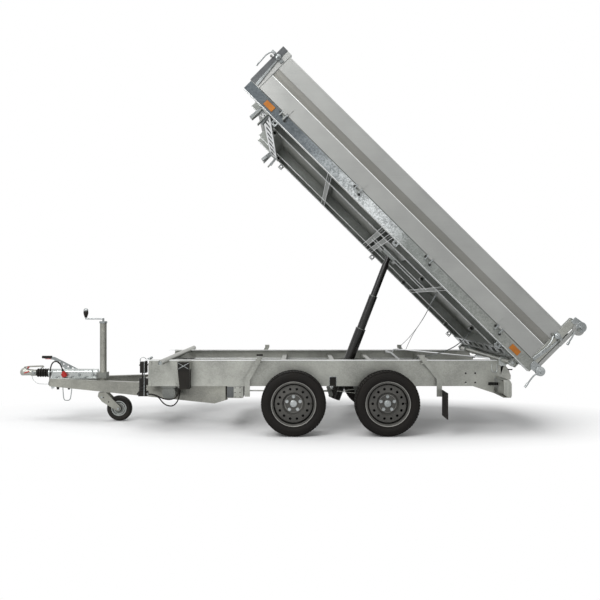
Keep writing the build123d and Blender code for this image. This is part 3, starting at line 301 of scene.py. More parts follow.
def addTurned(bm, profile, base, axis, sides=48, close=False):
    axis = Vector(axis).normalized()
    across = axis.orthogonal().normalized()
    third = axis.cross(across)
    rings = []
    for radius, along in profile:
        middle = Vector(base) + axis * along
        if radius < 1e-6:
            rings.append([bm.verts.new(middle)])
        else:
            rings.append([bm.verts.new(middle + across * radius * cos(2 * pi * i / sides)
                                       + third * radius * sin(2 * pi * i / sides)) for i in range(sides)])
    pairs = list(zip(rings, rings[1:]))
    if close:
        pairs.append((rings[-1], rings[0]))
    for low, high in pairs:
        for i in range(sides):
            j = (i + 1) % sides
            if len(low) == 1:
                bm.faces.new((low[0], high[i], high[j]))
            elif len(high) == 1:
                bm.faces.new((low[i], low[j], high[0]))
            else:
                bm.faces.new((low[i], low[j], high[j], high[i]))


def addRod(bm, start, end, radius, sides=24):
    run = Vector(end) - Vector(start)
    addTurned(bm, ((0, 0), (radius, 0), (radius, run.length), (0, run.length)), start, run, sides)


def closeLoops(bm, loops):
    # Two equal loops of points are the ends of a closed solid.
    bm.faces.new(loops[0])
    bm.faces.new(loops[1][::-1])
    for i in range(len(loops[0])):
        j = (i + 1) % len(loops[0])
        bm.faces.new((loops[0][i], loops[0][j], loops[1][j], loops[1][i]))


def addPlate(bm, outline, span, flat=False):
    # An outline in x and z is pushed along y. A flat one, in x and y, is pushed along z.
    closeLoops(bm, [[bm.verts.new((a, b, level) if flat else (a, level, b)) for a, b in outline]
                    for level in span])


# The same box, plate or stud on the left and on the right, between two distances out.
def addBoxes(bm, x, out, z):
    for y in sidePair(*out):
        addBox(bm, x, y, z)


def addPlates(bm, outline, out):
    for y in sidePair(*out):
        addPlate(bm, outline, y)


def addStuds(bm, spots, out, radius, sides):
    for side in (-1, 1):
        for x, z in spots:
            addRod(bm, (x, side * out[0], z), (x, side * out[1], z), radius, sides)


def plainMesh(holder):
    # The evaluated object as a plain mesh. The object itself goes.
    bpy.context.view_layer.update()
    mesh = bpy.data.meshes.new_from_object(holder.evaluated_get(bpy.context.evaluated_depsgraph_get()))
    bpy.data.objects.remove(holder)
    return mesh


def addBend(bm, points, radius, sides=12):
    curve = tubeCurve("bend", points, radius, steps=6, roundness=max(0, sides // 4 - 1))
    mesh = plainMesh(placeObject("bend", curve))
    bm.from_mesh(mesh)
    bpy.data.meshes.remove(mesh)


def smoothPath(points, steps=8):
    # The curve that a bend of these points follows, as a line of short steps.
    points = [Vector(point) for point in points]
    path = [points[0]]
    for i in range(1, len(points) - 1):
        start = points[0] if i == 1 else (points[i - 1] + points[i]) / 2
        end = points[-1] if i == len(points) - 2 else (points[i] + points[i + 1]) / 2
        for step in range(1, steps + 1):
            t = step / steps
            path.append(start * (1 - t) ** 2 + points[i] * 2 * t * (1 - t) + end * t * t)
    return path


made = {}  # finished pieces by name
bedBodies = ("bed", "side_board_left", "side_board_right")


@contextmanager
def newPiece(name, material, body="root", slotName=None, bevel=0.0):
    # The block under it draws the mesh, for the bed's bodies in the bed's own frame.
    bm = bmesh.new()
    yield bm
    if body in bedBodies:
        bmesh.ops.transform(bm, matrix=onBed, verts=bm.verts)
    bmesh.ops.recalc_face_normals(bm, faces=bm.faces)
    mesh = bpy.data.meshes.new(name)
    bm.to_mesh(mesh)
    bm.free()
    mesh.materials.append(material)
    piece = placeObject(name, mesh)
    if bevel:
        edge = piece.modifiers.new("edge", "BEVEL")
        edge.width = bevel
        edge.segments = 2
        edge.limit_method = "ANGLE"
        edge.angle_limit = radians(40)
    for face in mesh.polygons:
        face.use_smooth = True
    mesh.set_sharp_from_angle(angle=radians(35))
    if body is not None:  # a piece without a body is attached to none
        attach(piece, body)
    made[name] = piece


# Geometry nodes for what repeats: bolts on points, tread blocks round a circle.
def startTree(name, inputs):
    tree = bpy.data.node_groups.new(name, "GeometryNodeTree")
    tree.interface.new_socket("Geometry", in_out="INPUT", socket_type="NodeSocketGeometry")
    for label, kind, value in inputs:
        socket = tree.interface.new_socket(label, in_out="INPUT", socket_type=kind)
        if value is not None:
            socket.default_value = value
    tree.interface.new_socket("Geometry", in_out="OUTPUT", socket_type="NodeSocketGeometry")
    return tree, tree.nodes.new("NodeGroupInput").outputs


def endTree(tree, geometry, material):
    real = addNode(tree, "GeometryNodeRealizeInstances", links={"Geometry": geometry})
    coated = addNode(tree, "GeometryNodeSetMaterial",
                     links={"Geometry": real.outputs["Geometry"], "Material": material})
    addNode(tree, "NodeGroupOutput", links={"Geometry": coated.outputs["Geometry"]})
    return tree


def growPiece(name, tree, base, sizes, body, place=None):
    holder = placeObject(name + "_base", base)
    modifier = holder.modifiers.new("grow", "NODES")
    modifier.node_group = tree
    for item in tree.interface.items_tree:
        if item.in_out == "INPUT" and item.name in sizes:
            modifier[item.identifier] = sizes[item.name]
    mesh = plainMesh(holder)
    if place is not None:
        mesh.transform(place)
    mesh.name = name
    mesh.set_sharp_from_angle(angle=radians(35))
    piece = placeObject(name, mesh)
    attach(piece, body)
    return piece


def emptyMesh(name, spots=((0, 0, 0),), facing=None):
    mesh = bpy.data.meshes.new(name)
    mesh.from_pydata([tuple(spot) for spot in spots], [], [])
    if facing is not None:
        layer = mesh.attributes.new("facing", "FLOAT_VECTOR", "POINT")
        layer.data.foreach_set("vector", [number for way in facing for number in way])
    return mesh


def boltTree():
    # A hexagon head on a washer, stood on each point and turned to its facing.
    tree, given = startTree("hex_bolts", (
        ("Head Width", "NodeSocketFloat", 0.018), ("Head Height", "NodeSocketFloat", 0.008),
        ("Washer Radius", "NodeSocketFloat", 0.012), ("Washer Height", "NodeSocketFloat", 0.002),
        ("Material", "NodeSocketMaterial", None)))
    # A hexagon's corners stand 0.577 of its width from its middle.
    radius = addNode(tree, "ShaderNodeMath", {"operation": "MULTIPLY", 1: 0.577}, {0: given["Head Width"]})
    head = addNode(tree, "GeometryNodeMeshCylinder", {"Vertices": 6},
                   {"Radius": radius.outputs[0], "Depth": given["Head Height"]})
    washer = addNode(tree, "GeometryNodeMeshCylinder", {"Vertices": 20},
                     {"Radius": given["Washer Radius"], "Depth": given["Washer Height"]})
    lift = addNode(tree, "ShaderNodeMath", {"operation": "MULTIPLY_ADD", 1: 0.5},
                   {0: given["Head Height"], 2: given["Washer Height"]})
    rise = addNode(tree, "ShaderNodeCombineXYZ", links={"Z": lift.outputs[0]})
    washerHalf = addNode(tree, "ShaderNodeMath", {"operation": "MULTIPLY", 1: 0.5},
                         {0: given["Washer Height"]})
    washerRise = addNode(tree, "ShaderNodeCombineXYZ", links={"Z": washerHalf.outputs[0]})
    raised = addNode(tree, "GeometryNodeTransform",
                     links={"Geometry": head.outputs["Mesh"], "Translation": rise.outputs[0]})
    laid = addNode(tree, "GeometryNodeTransform",
                   links={"Geometry": washer.outputs["Mesh"], "Translation": washerRise.outputs[0]})
    both = addNode(tree, "GeometryNodeJoinGeometry")
    tree.links.new(raised.outputs[0], both.inputs[0])
    tree.links.new(laid.outputs[0], both.inputs[0])
    way = addNode(tree, "GeometryNodeInputNamedAttribute", {"data_type": "FLOAT_VECTOR", "Name": "facing"})
    turned = addNode(tree, "FunctionNodeAlignRotationToVector", {"axis": "Z"},
                     {"Vector": way.outputs["Attribute"]})
    spread = addNode(tree, "GeometryNodeInstanceOnPoints",
                     links={"Points": given["Geometry"], "Instance": both.outputs[0],
                            "Rotation": turned.outputs[0]})
    return endTree(tree, spread.outputs[0], given["Material"])


def treadTree():
    # Rubber blocks round the tyre's circle, each skewed across and leaned to the shoulder.
    tree, given = startTree("tread_blocks", (
        ("Count", "NodeSocketInt", 64), ("Radius", "NodeSocketFloat", 0.258),
        ("Offset", "NodeSocketFloat", 0.0), ("Length", "NodeSocketFloat", 0.02),
        ("Width", "NodeSocketFloat", 0.02), ("Height", "NodeSocketFloat", 0.008),
        ("Skew", "NodeSocketFloat", 0.3), ("Lean", "NodeSocketFloat", 0.0),
        ("Material", "NodeSocketMaterial", None)))
    index = addNode(tree, "GeometryNodeInputIndex")
    share = addNode(tree, "ShaderNodeMath", {"operation": "DIVIDE"}, {0: index.outputs[0], 1: given["Count"]})
    angle = addNode(tree, "ShaderNodeMath", {"operation": "MULTIPLY", 1: 2 * pi}, {0: share.outputs[0]})
    sine = addNode(tree, "ShaderNodeMath", {"operation": "SINE"}, {0: angle.outputs[0]})
    cosine = addNode(tree, "ShaderNodeMath", {"operation": "COSINE"}, {0: angle.outputs[0]})
    x = addNode(tree, "ShaderNodeMath", {"operation": "MULTIPLY"}, {0: sine.outputs[0], 1: given["Radius"]})
    z = addNode(tree, "ShaderNodeMath", {"operation": "MULTIPLY"}, {0: cosine.outputs[0], 1: given["Radius"]})
    spot = addNode(tree, "ShaderNodeCombineXYZ",
                   links={"X": x.outputs[0], "Y": given["Offset"], "Z": z.outputs[0]})
    points = addNode(tree, "GeometryNodePoints", links={"Count": given["Count"], "Position": spot.outputs[0]})
    size = addNode(tree, "ShaderNodeCombineXYZ",
                   links={"X": given["Length"], "Y": given["Width"], "Z": given["Height"]})
    cube = addNode(tree, "GeometryNodeMeshCube", links={"Size": size.outputs[0]})
    tilt = addNode(tree, "ShaderNodeCombineXYZ", links={"X": given["Lean"], "Z": given["Skew"]})
    block = addNode(tree, "GeometryNodeTransform",
                    links={"Geometry": cube.outputs["Mesh"], "Rotation": tilt.outputs[0]})
    turned = addNode(tree, "ShaderNodeCombineXYZ", links={"Y": angle.outputs[0]})
    spread = addNode(tree, "GeometryNodeInstanceOnPoints",
                     links={"Points": points.outputs[0], "Instance": block.outputs[0],
                            "Rotation": turned.outputs[0]})
    return endTree(tree, spread.outputs[0], given["Material"])


bolts = boltTree()
treads = treadTree()
boltShape = {"headHeight": 0.45, "washerRadius": 0.72, "washerHeight": 0.12}  # shares of the head's width


def boltField(name, spots, facing, width, body, place=None, material=zincBright):
    ways = facing if hasattr(facing[0], "__len__") else [facing] * len(spots)
    sizes = {"Head Width": width, "Head Height": width * boltShape["headHeight"],
             "Washer Radius": width * boltShape["washerRadius"],
             "Washer Height": width * boltShape["washerHeight"], "Material": material}
    return growPiece(name, bolts, emptyMesh(name, spots, ways), sizes, body, place)


# Road wheels: a turned carcass under rows of blocks, then rim lips, brake drum, bolts, cap and valve.
wheel = {
    "radius": 0.2625, "track": 0.7725, "axles": {"front": 0.108, "rear": 0.864},
    "boltCircle": 0.056, "boltCount": 5, "boltFace": 0.044, "boltSize": 0.019,
    "blockCount": 66, "blockHeight": 0.008, "blockRadius": 0.2577, "blockDrop": 0.012,
    # Profiles give radius and distance out. The tyre's is half of its section.
    "tyre": ((0.168, -0.0715), (0.1755, -0.0775), (0.1835, -0.0785), (0.1850, -0.0850), (0.1905, -0.0900),
             (0.1930, -0.0895), (0.2040, -0.0968), (0.2140, -0.0975), (0.2230, -0.0968), (0.2245, -0.0950),
             (0.2330, -0.0935), (0.2400, -0.0920), (0.2480, -0.0850), (0.2530, -0.0760), (0.2555, -0.0680)),
    "rings": (((0.1755, 0.0785), (0.1800, 0.0800), (0.1822, 0.0780), (0.1800, 0.0760)),
              ((0.1425, 0.0450), (0.1450, 0.0475), (0.1475, 0.0470), (0.1470, 0.0440)),
              ((0.0900, 0.0452), (0.0920, 0.0476), (0.0945, 0.0470), (0.0945, 0.0440)),
              ((0.0680, 0.0446), (0.0695, 0.0466), (0.0715, 0.0462), (0.0715, 0.0436))),
    "drum": ((0.0, 0.010), (0.128, 0.010), (0.150, -0.020), (0.150, -0.026), (0.0, -0.026)),
    "cap": ((0.0, 0.058), (0.020, 0.0575), (0.027, 0.054), (0.0295, 0.048), (0.0300, 0.041)),
    # The valve's stem and cap: start and end as x and distance out, then the radius.
    "valve": (((0.148, 0.052), (0.150, 0.082), 0.0045), ((0.150, 0.082), (0.1505, 0.090), 0.0055)),
    # Each row of blocks: offset across the tyre, width, length, skew, lean.
    "rows": ((0.0, 0.024, 0.0185, 0.30, 0.0), (0.032, 0.024, 0.0185, -0.34, 0.02),
             (-0.032, 0.024, 0.0185, 0.34, -0.02), (0.0655, 0.030, 0.0190, 0.16, 0.16),
             (-0.0655, 0.030, 0.0190, -0.16, -0.16)),
}
wholeTyre = wheel["tyre"] + tuple((radius, -out) for radius, out in reversed(wheel["tyre"]))
for end, x in wheel["axles"].items():
    for hand, side in hands.items():
        mark, body = f"{end}_{hand}", f"wheel_{end}_{hand}"
        middle = Vector((x, side * wheel["track"], wheel["radius"]))
        with newPiece(f"tyre_carcass_{mark}", tyreRubber, body) as bm:
            addTurned(bm, wholeTyre, middle, (0, 1, 0), 96, close=True)
        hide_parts(f"tyre_{mark}")
        for row, (offset, width, length, skew, lean) in enumerate(wheel["rows"]):
            radius = wheel["blockRadius"] - abs(lean) * wheel["blockDrop"]
            sizes = {"Count": wheel["blockCount"], "Radius": radius, "Offset": offset, "Width": width,
                     "Length": length, "Height": wheel["blockHeight"], "Skew": skew, "Lean": -lean,
                     "Material": tyreRubber}
            growPiece(f"tyre_tread_{mark}_{row + 1}", treads, emptyMesh("tread"), sizes, body,
                      Matrix.Translation(middle))
        # The rim's lips are real; their lighter enamel is a painted highlight.
        with newPiece(f"rim_rings_{mark}", rimHighlight, body) as bm:
            for ring in wheel["rings"]:
                addTurned(bm, ring, middle, (0, side, 0), 72, close=True)
        # The brake drum is real; its black stands partly for painted shade inside the wheel, seen through the
        # rim's holes.
        with newPiece(f"brake_drum_{mark}", blackPaint, body, "wheel_paint") as bm:
            addTurned(bm, wheel["drum"], middle, (0, side, 0), 64)
        turns = [2 * pi * i / wheel["boltCount"] for i in range(wheel["boltCount"])]
        spots = [middle + Vector((wheel["boltCircle"] * sin(turn), side * wheel["boltFace"],
                                  wheel["boltCircle"] * cos(turn))) for turn in turns]
        boltField(f"wheel_bolts_{mark}", spots, (0, side, 0), wheel["boltSize"], body)
        with newPiece(f"centre_cap_{mark}", zincBright, body) as bm:
            addTurned(bm, wheel["cap"], middle, (0, side, 0), 40)
        with newPiece(f"tyre_valve_{mark}", softRubber, body, "tyre_rubber") as bm:
            for start, stop, radius in wheel["valve"]:
                addRod(bm, middle + Vector((start[0], side * start[1], 0)),
                       middle + Vector((stop[0], side * stop[1], 0)), radius, 12)
print("wheels made")

# Handbrake grip with ribs on its underside, and its red release.
brake = {"grip": ((-2.236, -2.142), (0.040, 0.060), (0.554, 0.577)), "ribCount": 5, "ribPitch": 0.016,
         "ribWidth": 0.008, "ribProud": 0.002, "ribLevels": (0.552, 0.560),
         "release": ((-2.205, -2.150), (0.043, 0.057), (0.545, 0.551))}
run, wide, levels = brake["grip"]
with newPiece("brake_grip", blackPlastic, bevel=0.004) as bm:
    addBox(bm, run, wide, levels)
    for i in range(brake["ribCount"]):
        x = run[0] + brake["ribPitch"] * (i + 1)
        addBox(bm, (x, x + brake["ribWidth"]), (wide[0] - brake["ribProud"], wide[1] + brake["ribProud"]),
               brake["ribLevels"])
with newPiece("brake_release", redPlastic, bevel=0.002) as bm:
    addBox(bm, *brake["release"])

# Coupling head: bolts through its neck, red wear marks, the handle's pins and a catch.
coupling = {
    "neckBolts": (-2.283, 0.029, 0.425), "neckBoltSize": 0.019,
    "mark": ((-2.368, 0.420), (-2.322, 0.436), (-2.318, 0.443), (-2.330, 0.445), (-2.370, 0.428)),
    "markOut": (0.0385, 0.0445),
    "button": ((-2.345, -0.016, 0.467), (-2.330, -0.016, 0.482), 0.007),
    # The pins: x, height, half length and radius.
    "pins": ((-2.352, 0.468, 0.024, 0.007), (-2.300, 0.440, 0.034, 0.006)),
    "catch": ((-2.226, -2.214), (-0.014, 0.014), (0.466, 0.474)),
    "housingBolts": ((-2.06, -1.93, -1.80), 0.075, 0.385), "housingBoltSize": 0.019,
    "sideBolts": ((-1.86, -0.0425, 0.410), (-1.74, -0.0425, 0.410)), "sideBoltSize": 0.017,
}
x, out, z = coupling["neckBolts"]
boltField("head_bolts", [(x, side * out, z) for side in (-1, 1)], [(0, -1, 0), (0, 1, 0)],
          coupling["neckBoltSize"], "root")
with newPiece("wear_marks", redPlastic, bevel=0.0015) as bm:
    addPlates(bm, coupling["mark"], coupling["markOut"])
    start, stop, radius = coupling["button"]
    addRod(bm, start, stop, radius, 16)
with newPiece("handle_pivot", zincBright, bevel=0.0015) as bm:
    for x, z, half, radius in coupling["pins"]:
        addRod(bm, (x, -half, z), (x, half, z), radius, 20)
    addBox(bm, *coupling["catch"])
places, out, z = coupling["housingBolts"]
boltField("housing_bolts", [(x, side * out, z) for x in places for side in (-1, 1)], (0, 0, 1),
          coupling["housingBoltSize"], "root")
boltField("housing_side_bolts", coupling["sideBolts"], (0, -1, 0), coupling["sideBoltSize"], "root")

# Wire stand, brake wire, tooth and cable hooks under the drawbar's nose.
nose = {
    "stand": ((-2.003, -0.070, 0.318), (-1.999, -0.071, 0.240), (-1.992, -0.071, 0.184),
              (-1.965, -0.071, 0.178), (-1.935, -0.071, 0.184), (-1.925, -0.071, 0.240),
              (-1.917, -0.070, 0.318)),
    "standRadius": 0.0042,
    "wire": ((-1.905, -0.03, 0.290), (-1.80, -0.02, 0.284), (-1.60, -0.01, 0.277), (-1.20, 0.0, 0.268)),
    "wireRadius": 0.004,
    "tooth": ((-2.110, 0.311), (-2.072, 0.309), (-2.082, 0.285), (-2.088, 0.300), (-2.096, 0.280)),
    "toothSide": (-0.083, -0.077),
    "hooks": (-2.045, -1.945), "hookPin": (-0.086, -0.060, 0.300, 0.011), "hookHalf": 0.009,
    "hookSide": (-0.082, -0.064), "hookLevels": (0.280, 0.306),
}
with newPiece("wire_stand", zincBright) as bm:
    addBend(bm, nose["stand"], nose["standRadius"])
    addBend(bm, nose["wire"], nose["wireRadius"])
with newPiece("nose_tooth", zincBright, bevel=0.001) as bm:
    addPlate(bm, nose["tooth"], nose["toothSide"])
near, far, z, radius = nose["hookPin"]
with newPiece("cable_hooks", blackPlastic, bevel=0.002) as bm:
    for x in nose["hooks"]:
        addRod(bm, (x, near, z), (x, far, z), radius, 20)
        addBox(bm, (x - nose["hookHalf"], x + nose["hookHalf"]), nose["hookSide"], nose["hookLevels"])

# Jockey: clamp toggle, crank knob, tube collars, wheel rim with edge rings of painted sheen, axle nut, dark
# discs of painted shade in the fork's holes, and rivets.
jockey = {
    "x": -1.626, "y": -0.095, "axle": (-1.477, -0.095, 0.115),
    "toggle": ((-1.666, -0.118, 0.410), (-1.681, -0.150, 0.410), (-1.701, -0.165, 0.440),
               (-1.708, -0.168, 0.470)),
    "toggleRadius": 0.007,
    "knob": ((0.0, 0.0), (0.012, 0.0), (0.0135, 0.012), (0.018, 0.022), (0.0215, 0.038), (0.0220, 0.050),
             (0.0195, 0.063), (0.0130, 0.072), (0.0, 0.076)),
    "knobPlace": (-1.784, -0.095, 0.936),
    "collar": ((0.0302, 0.0), (0.0345, 0.001), (0.0350, 0.010), (0.0345, 0.019), (0.0302, 0.020)),
    "collarHeights": (0.883, 0.300),
    "rim": ((0.0100, 0.0340), (0.0225, 0.0338), (0.0245, 0.0300), (0.0290, 0.0215), (0.0480, 0.0200),
            (0.0520, 0.0255), (0.0590, 0.0290), (0.0660, 0.0300), (0.0680, 0.0280), (0.0680, 0.0230),
            (0.0600, 0.0180), (0.0290, 0.0165), (0.0100, 0.0165)),
    "rimEdges": (((0.0600, 0.0285), (0.0625, 0.0310), (0.0670, 0.0308), (0.0690, 0.0270)),
                 ((0.0440, 0.0195), (0.0455, 0.0235), (0.0490, 0.0235), (0.0500, 0.0195))),
    "holes": ((-1.611, 0.216), (-1.566, 0.176)), "holeOut": (0.0440, 0.0478), "holeRadius": 0.0055,
    "nutOut": 0.051, "nutSize": 0.016,
    "rivet": (-1.629, -0.095, 0.218), "rivetOut": (0.045, 0.048), "rivetRadius": 0.008,
}
with newPiece("clamp_toggle", zincBright) as bm:
    addBend(bm, jockey["toggle"], jockey["toggleRadius"])
with newPiece("crank_knob", blackPlastic) as bm:
    addTurned(bm, jockey["knob"], jockey["knobPlace"], (0, 0, 1), 32)
with newPiece("tube_collars", zincBright) as bm:
    for z in jockey["collarHeights"]:
        addTurned(bm, jockey["collar"], (jockey["x"], jockey["y"], z), (0, 0, 1), 40)
with newPiece("jockey_rim", zincDark, "jockey_wheel") as bm:
    for side in (-1, 1):
        addTurned(bm, jockey["rim"], jockey["axle"], (0, side, 0), 64, close=True)
# Thin rings in the lighter zinc on the rim's edges: painted sheen.
with newPiece("jockey_rim_sheen", paintedSheenZinc, "jockey_wheel") as bm:
    for side in (-1, 1):
        for edge in jockey["rimEdges"]:
            addTurned(bm, edge, jockey["axle"], (0, side, 0), 64, close=True)
low, high = jockey["holeOut"]
# Dark discs at the fork's holes: painted shade.
with newPiece("fork_hole_shades", blackPaint, "jockey_fork", "galvanised_steel") as bm:
    for x, z in jockey["holes"]:
        addRod(bm, (x, jockey["y"] - low, z), (x, jockey["y"] - high, z), jockey["holeRadius"], 16)
x, y, z = jockey["axle"]
boltField("jockey_axle_nut", [(x, y - jockey["nutOut"], z)], (0, -1, 0), jockey["nutSize"], "jockey_fork")
x, y, z = jockey["rivet"]
low, high = jockey["rivetOut"]
with newPiece("fork_rivets", zincBright, "jockey_fork") as bm:
    for side in (-1, 1):
        addRod(bm, (x, y + side * low, z), (x, y + side * high, z), jockey["rivetRadius"], 16)
print("coupling and jockey made")

# Brake rod, its wires and the compensator, and two stop plates beside the cylinder.
rods = {
    # Each rod or wire: start, end and radius.
    "lines": (((-1.20, 0, 0.268), (0.47, 0, 0.254), 0.006),
              ((0.47, -0.03, 0.262), (0.80, -0.30, 0.262), 0.004),
              ((0.47, 0.03, 0.246), (0.80, 0.30, 0.246), 0.004),
              ((0.47, -0.03, 0.275), (0.11, -0.35, 0.275), 0.004)),
    "compensator": ((0.440, 0.300), (0.500, 0.320), (0.535, 0.215), (0.480, 0.205)),
    "compensatorSide": (-0.030, 0.030),
    "stops": ((((0.400, 0.300), (0.430, 0.320), (0.470, 0.215), (0.430, 0.205)), (-0.050, -0.036)),
              (((0.610, 0.377), (0.700, 0.377), (0.690, 0.205), (0.672, 0.205)), (-0.340, -0.330))),
}
with newPiece("brake_rods", zincFrame) as bm:
    for start, stop, radius in rods["lines"]:
        addRod(bm, start, stop, radius, 12)
with newPiece("brake_compensator", zincBright, bevel=0.003) as bm:
    addPlate(bm, rods["compensator"], rods["compensatorSide"])
with newPiece("cylinder_stop", zincDark, bevel=0.002) as bm:
    for outline, y in rods["stops"]:
        addPlate(bm, outline, y)

# A square tube's end in the near rail: black plug, bright frame on three sides.
tubeEnd = {"plug": ((0.408, 0.460), (-0.6125, -0.6095), (0.378, 0.452)), "frameSide": (-0.6165, -0.6102),
           "frame": (((0.404, 0.408), (0.378, 0.458)), ((0.460, 0.464), (0.378, 0.458)),
                     ((0.408, 0.460), (0.453, 0.458)))}
with newPiece("tube_end_plug", blackPlastic, bevel=0.0008) as bm:
    addBox(bm, *tubeEnd["plug"])
with newPiece("tube_end_frame", zincBright, bevel=0.0008) as bm:
    for x, z in tubeEnd["frame"]:
        addBox(bm, x, tubeEnd["frameSide"], z)

# Bolts of the rails, dark discs of painted shade in the rails' holes, and the rubber pad on the near stay.
rail = {
    "y": 0.610, "boltSize": 0.019, "coverRun": (-1.11, -0.86), "coverProud": 0.004,
    "bolts": ((-1.085, 0.565), (-1.085, 0.395), (-0.875, 0.395), (-0.875, 0.540), (-0.60, 0.420),
              (0.0, 0.420), (0.055, 0.410), (0.62, 0.410), (0.66, 0.410), (0.76, 0.410)),
    "holes": ((1.541, 0.4075), (1.541, 0.4850), (1.620, 0.4075), (1.620, 0.4850)), "holeRadius": 0.0075,
    "holeOut": (0.610, 0.6108),
    "buffer": ((-0.199, -0.147), (-0.664, -0.650), (0.632, 0.648)),
}
spots, ways = [], []
for side in (-1, 1):
    for x, z in rail["bolts"]:
        proud = rail["coverProud"] if rail["coverRun"][0] < x < rail["coverRun"][1] else 0.0
        spots.append((x, side * (rail["y"] + proud), z))
        ways.append((0, side, 0))
boltField("rail_bolts", spots, ways, rail["boltSize"], "root", material=zincFrame)
# Dark discs in the rails' holes: painted shade.
with newPiece("rail_hole_shades", blackPaint) as bm:
    addStuds(bm, rail["holes"], rail["holeOut"], rail["holeRadius"], 20)
with newPiece("stay_buffers", softRubber, bevel=0.003) as bm:
    addBox(bm, *rail["buffer"])

# Hand pump: bands, drain plug, black block, rod, lever and the hoses' couplings.
pump = {
    "x": -1.172, "y": -0.520, "band": ((0.0292, 0.0), (0.0325, 0.0015), (0.0325, 0.0085), (0.0292, 0.010)),
    "bandHeights": (0.330, 0.352, 0.420), "drain": ((-1.202, -0.558, 0.305), (-1.202, -0.548, 0.305), 0.012),
    "blocks": (((-1.190, -1.134), (-0.549, -0.496), (0.480, 0.574)),
               ((-1.196, -1.128), (-0.5475, -0.500), (0.540, 0.552))),
    "rod": ((-1.150, -0.5640, 0.288), (-1.150, -0.5535, 0.574), 0.0035),
    "eye": ((0.0225, -0.006), (0.0275, -0.006), (0.0275, 0.006), (0.0225, 0.006)),
    "eyePlace": (-1.168, -0.520, 0.585),
    "lever": ((-1.150, -0.520, 0.580), (-1.088, -0.520, 0.612), 0.010),
    "leverPins": (0.25, 0.55, 0.85), "pinHalf": 0.012, "pinRadius": 0.0065,
    "hoseEnds": ((-1.130, -0.540, 0.302), (-1.130, -0.512, 0.296)), "hoseNut": 0.017,
}
with newPiece("pump_bands", blackPaint) as bm:
    for z in pump["bandHeights"]:
        addTurned(bm, pump["band"], (pump["x"], pump["y"], z), (0, 0, 1), 40)
    start, stop, radius = pump["drain"]
    addRod(bm, start, stop, radius, 6)
with newPiece("pump_block", blackPlastic, bevel=0.003) as bm:
    for box in pump["blocks"]:
        addBox(bm, *box)
with newPiece("pump_rod", zincBright) as bm:
    start, stop, radius = pump["rod"]
    addRod(bm, start, stop, radius, 16)
with newPiece("pump_lever", zincBright, bevel=0.001) as bm:
    addTurned(bm, pump["eye"], pump["eyePlace"], (0, 1, 0), 40, close=True)
    start, stop, radius = pump["lever"]
    addRod(bm, start, stop, radius, 20)
    for share in pump["leverPins"]:
        spot = Vector(start).lerp(Vector(stop), share)
        across = Vector((0, pump["pinHalf"], 0))
        addRod(bm, spot - across, spot + across, pump["pinRadius"], 12)
boltField("hose_couplings", pump["hoseEnds"], (1, 0, 0), pump["hoseNut"], "root")
print("chassis fittings made")

# Bed posts, latches and tail pivots, in the bed's own frame.
bed = {"half": 0.905, "postFace": ((-3.063, -3.010), (0.905, 0.908), (0.124, 0.493)),
       "tailPostFace": ((0.066, 0.130), (0.905, 0.908), (0.124, 0.560))}
latch = {
    "strap": (0.908, 0.916),
    "straps": (((-3.009, 0.128), (-2.985, 0.128), (-2.998, 0.250), (-3.014, 0.395), (-3.024, 0.395)),
               ((0.070, 0.128), (0.094, 0.128), (0.118, 0.250), (0.128, 0.400), (0.118, 0.400),
                (0.100, 0.260))),
    "knobs": ((-3.026, 0.398), (0.088, 0.392)),
    "knob": ((0.0, 0.034), (0.008, 0.033), (0.010, 0.026), (0.019, 0.024), (0.025, 0.018), (0.026, 0.0),
             (0.0, 0.0)),
    "wing": ((-0.040, -0.006), (0.046, -0.018), (0.056, 0.012), (-0.022, 0.022)), "wingOut": (0.905, 0.915),
    "lever": ((-3.050, 0.925, 0.404), (-3.086, 0.932, 0.402), (-3.104, 0.934, 0.352), (-3.102, 0.934, 0.300),
              (-3.097, 0.934, 0.228)),
    "leverRadius": 0.0062,
    "clip": ((-3.096, -3.058), (0.918, 0.936), (0.388, 0.412)),
    "nuts": ((-3.072, 0.368), (0.118, 0.372), (0.052, 0.376)), "nutOut": (0.912, 0.928), "nutRadius": 0.011,
}
tail = {
    "upper": ((0.0, 0.030), (0.013, 0.030), (0.016, 0.024), (0.017, 0.0145), (0.040, 0.0145), (0.0425, 0.011),
              (0.0425, 0.0)),
    "lower": ((0.0, 0.040), (0.010, 0.039), (0.0125, 0.030), (0.030, 0.028), (0.038, 0.023), (0.0385, 0.0),
              (0.0, 0.0)),
    "upperPlace": (0.174, 0.903, 0.574), "lowerPlace": (0.187, 0.903, 0.098),
    "upperPlate": ((0.084, 0.600), (0.172, 0.614), (0.172, 0.590), (0.150, 0.560), (0.110, 0.548),
                   (0.084, 0.552)),
    "lowerPlate": ((0.092, 0.128), (0.168, 0.132), (0.184, 0.100), (0.170, 0.066), (0.120, 0.060),
                   (0.092, 0.086)),
    "upperOut": (0.902, 0.912), "lowerOut": (0.906, 0.916),
    # The radius of each bent lever, then x, distance out and height along it.
    "levers": ((0.0065, ((0.160, 0.925, 0.508), (0.164, 0.928, 0.490), (0.178, 0.930, 0.440),
                         (0.184, 0.930, 0.396))),
               (0.0065, ((0.178, 0.930, 0.066), (0.168, 0.932, 0.040), (0.176, 0.934, -0.020),
                         (0.184, 0.934, -0.078))),
               (0.0048, ((0.060, 0.922, 0.374), (0.084, 0.926, 0.330), (0.086, 0.926, 0.240),
                         (0.070, 0.920, 0.130)))),
    "grips": (((0.182, 0.930, 0.420), (0.186, 0.930, 0.394)),
              ((0.178, 0.934, -0.040), (0.184, 0.934, -0.080))),
    "gripRadius": 0.0095,
    "lock": ((0.124, 0.160), (0.907, 0.9095), (0.556, 0.604)),
}
with newPiece("post_faces", zincPost, "bed", bevel=0.0012) as bm:
    addBoxes(bm, *bed["postFace"])
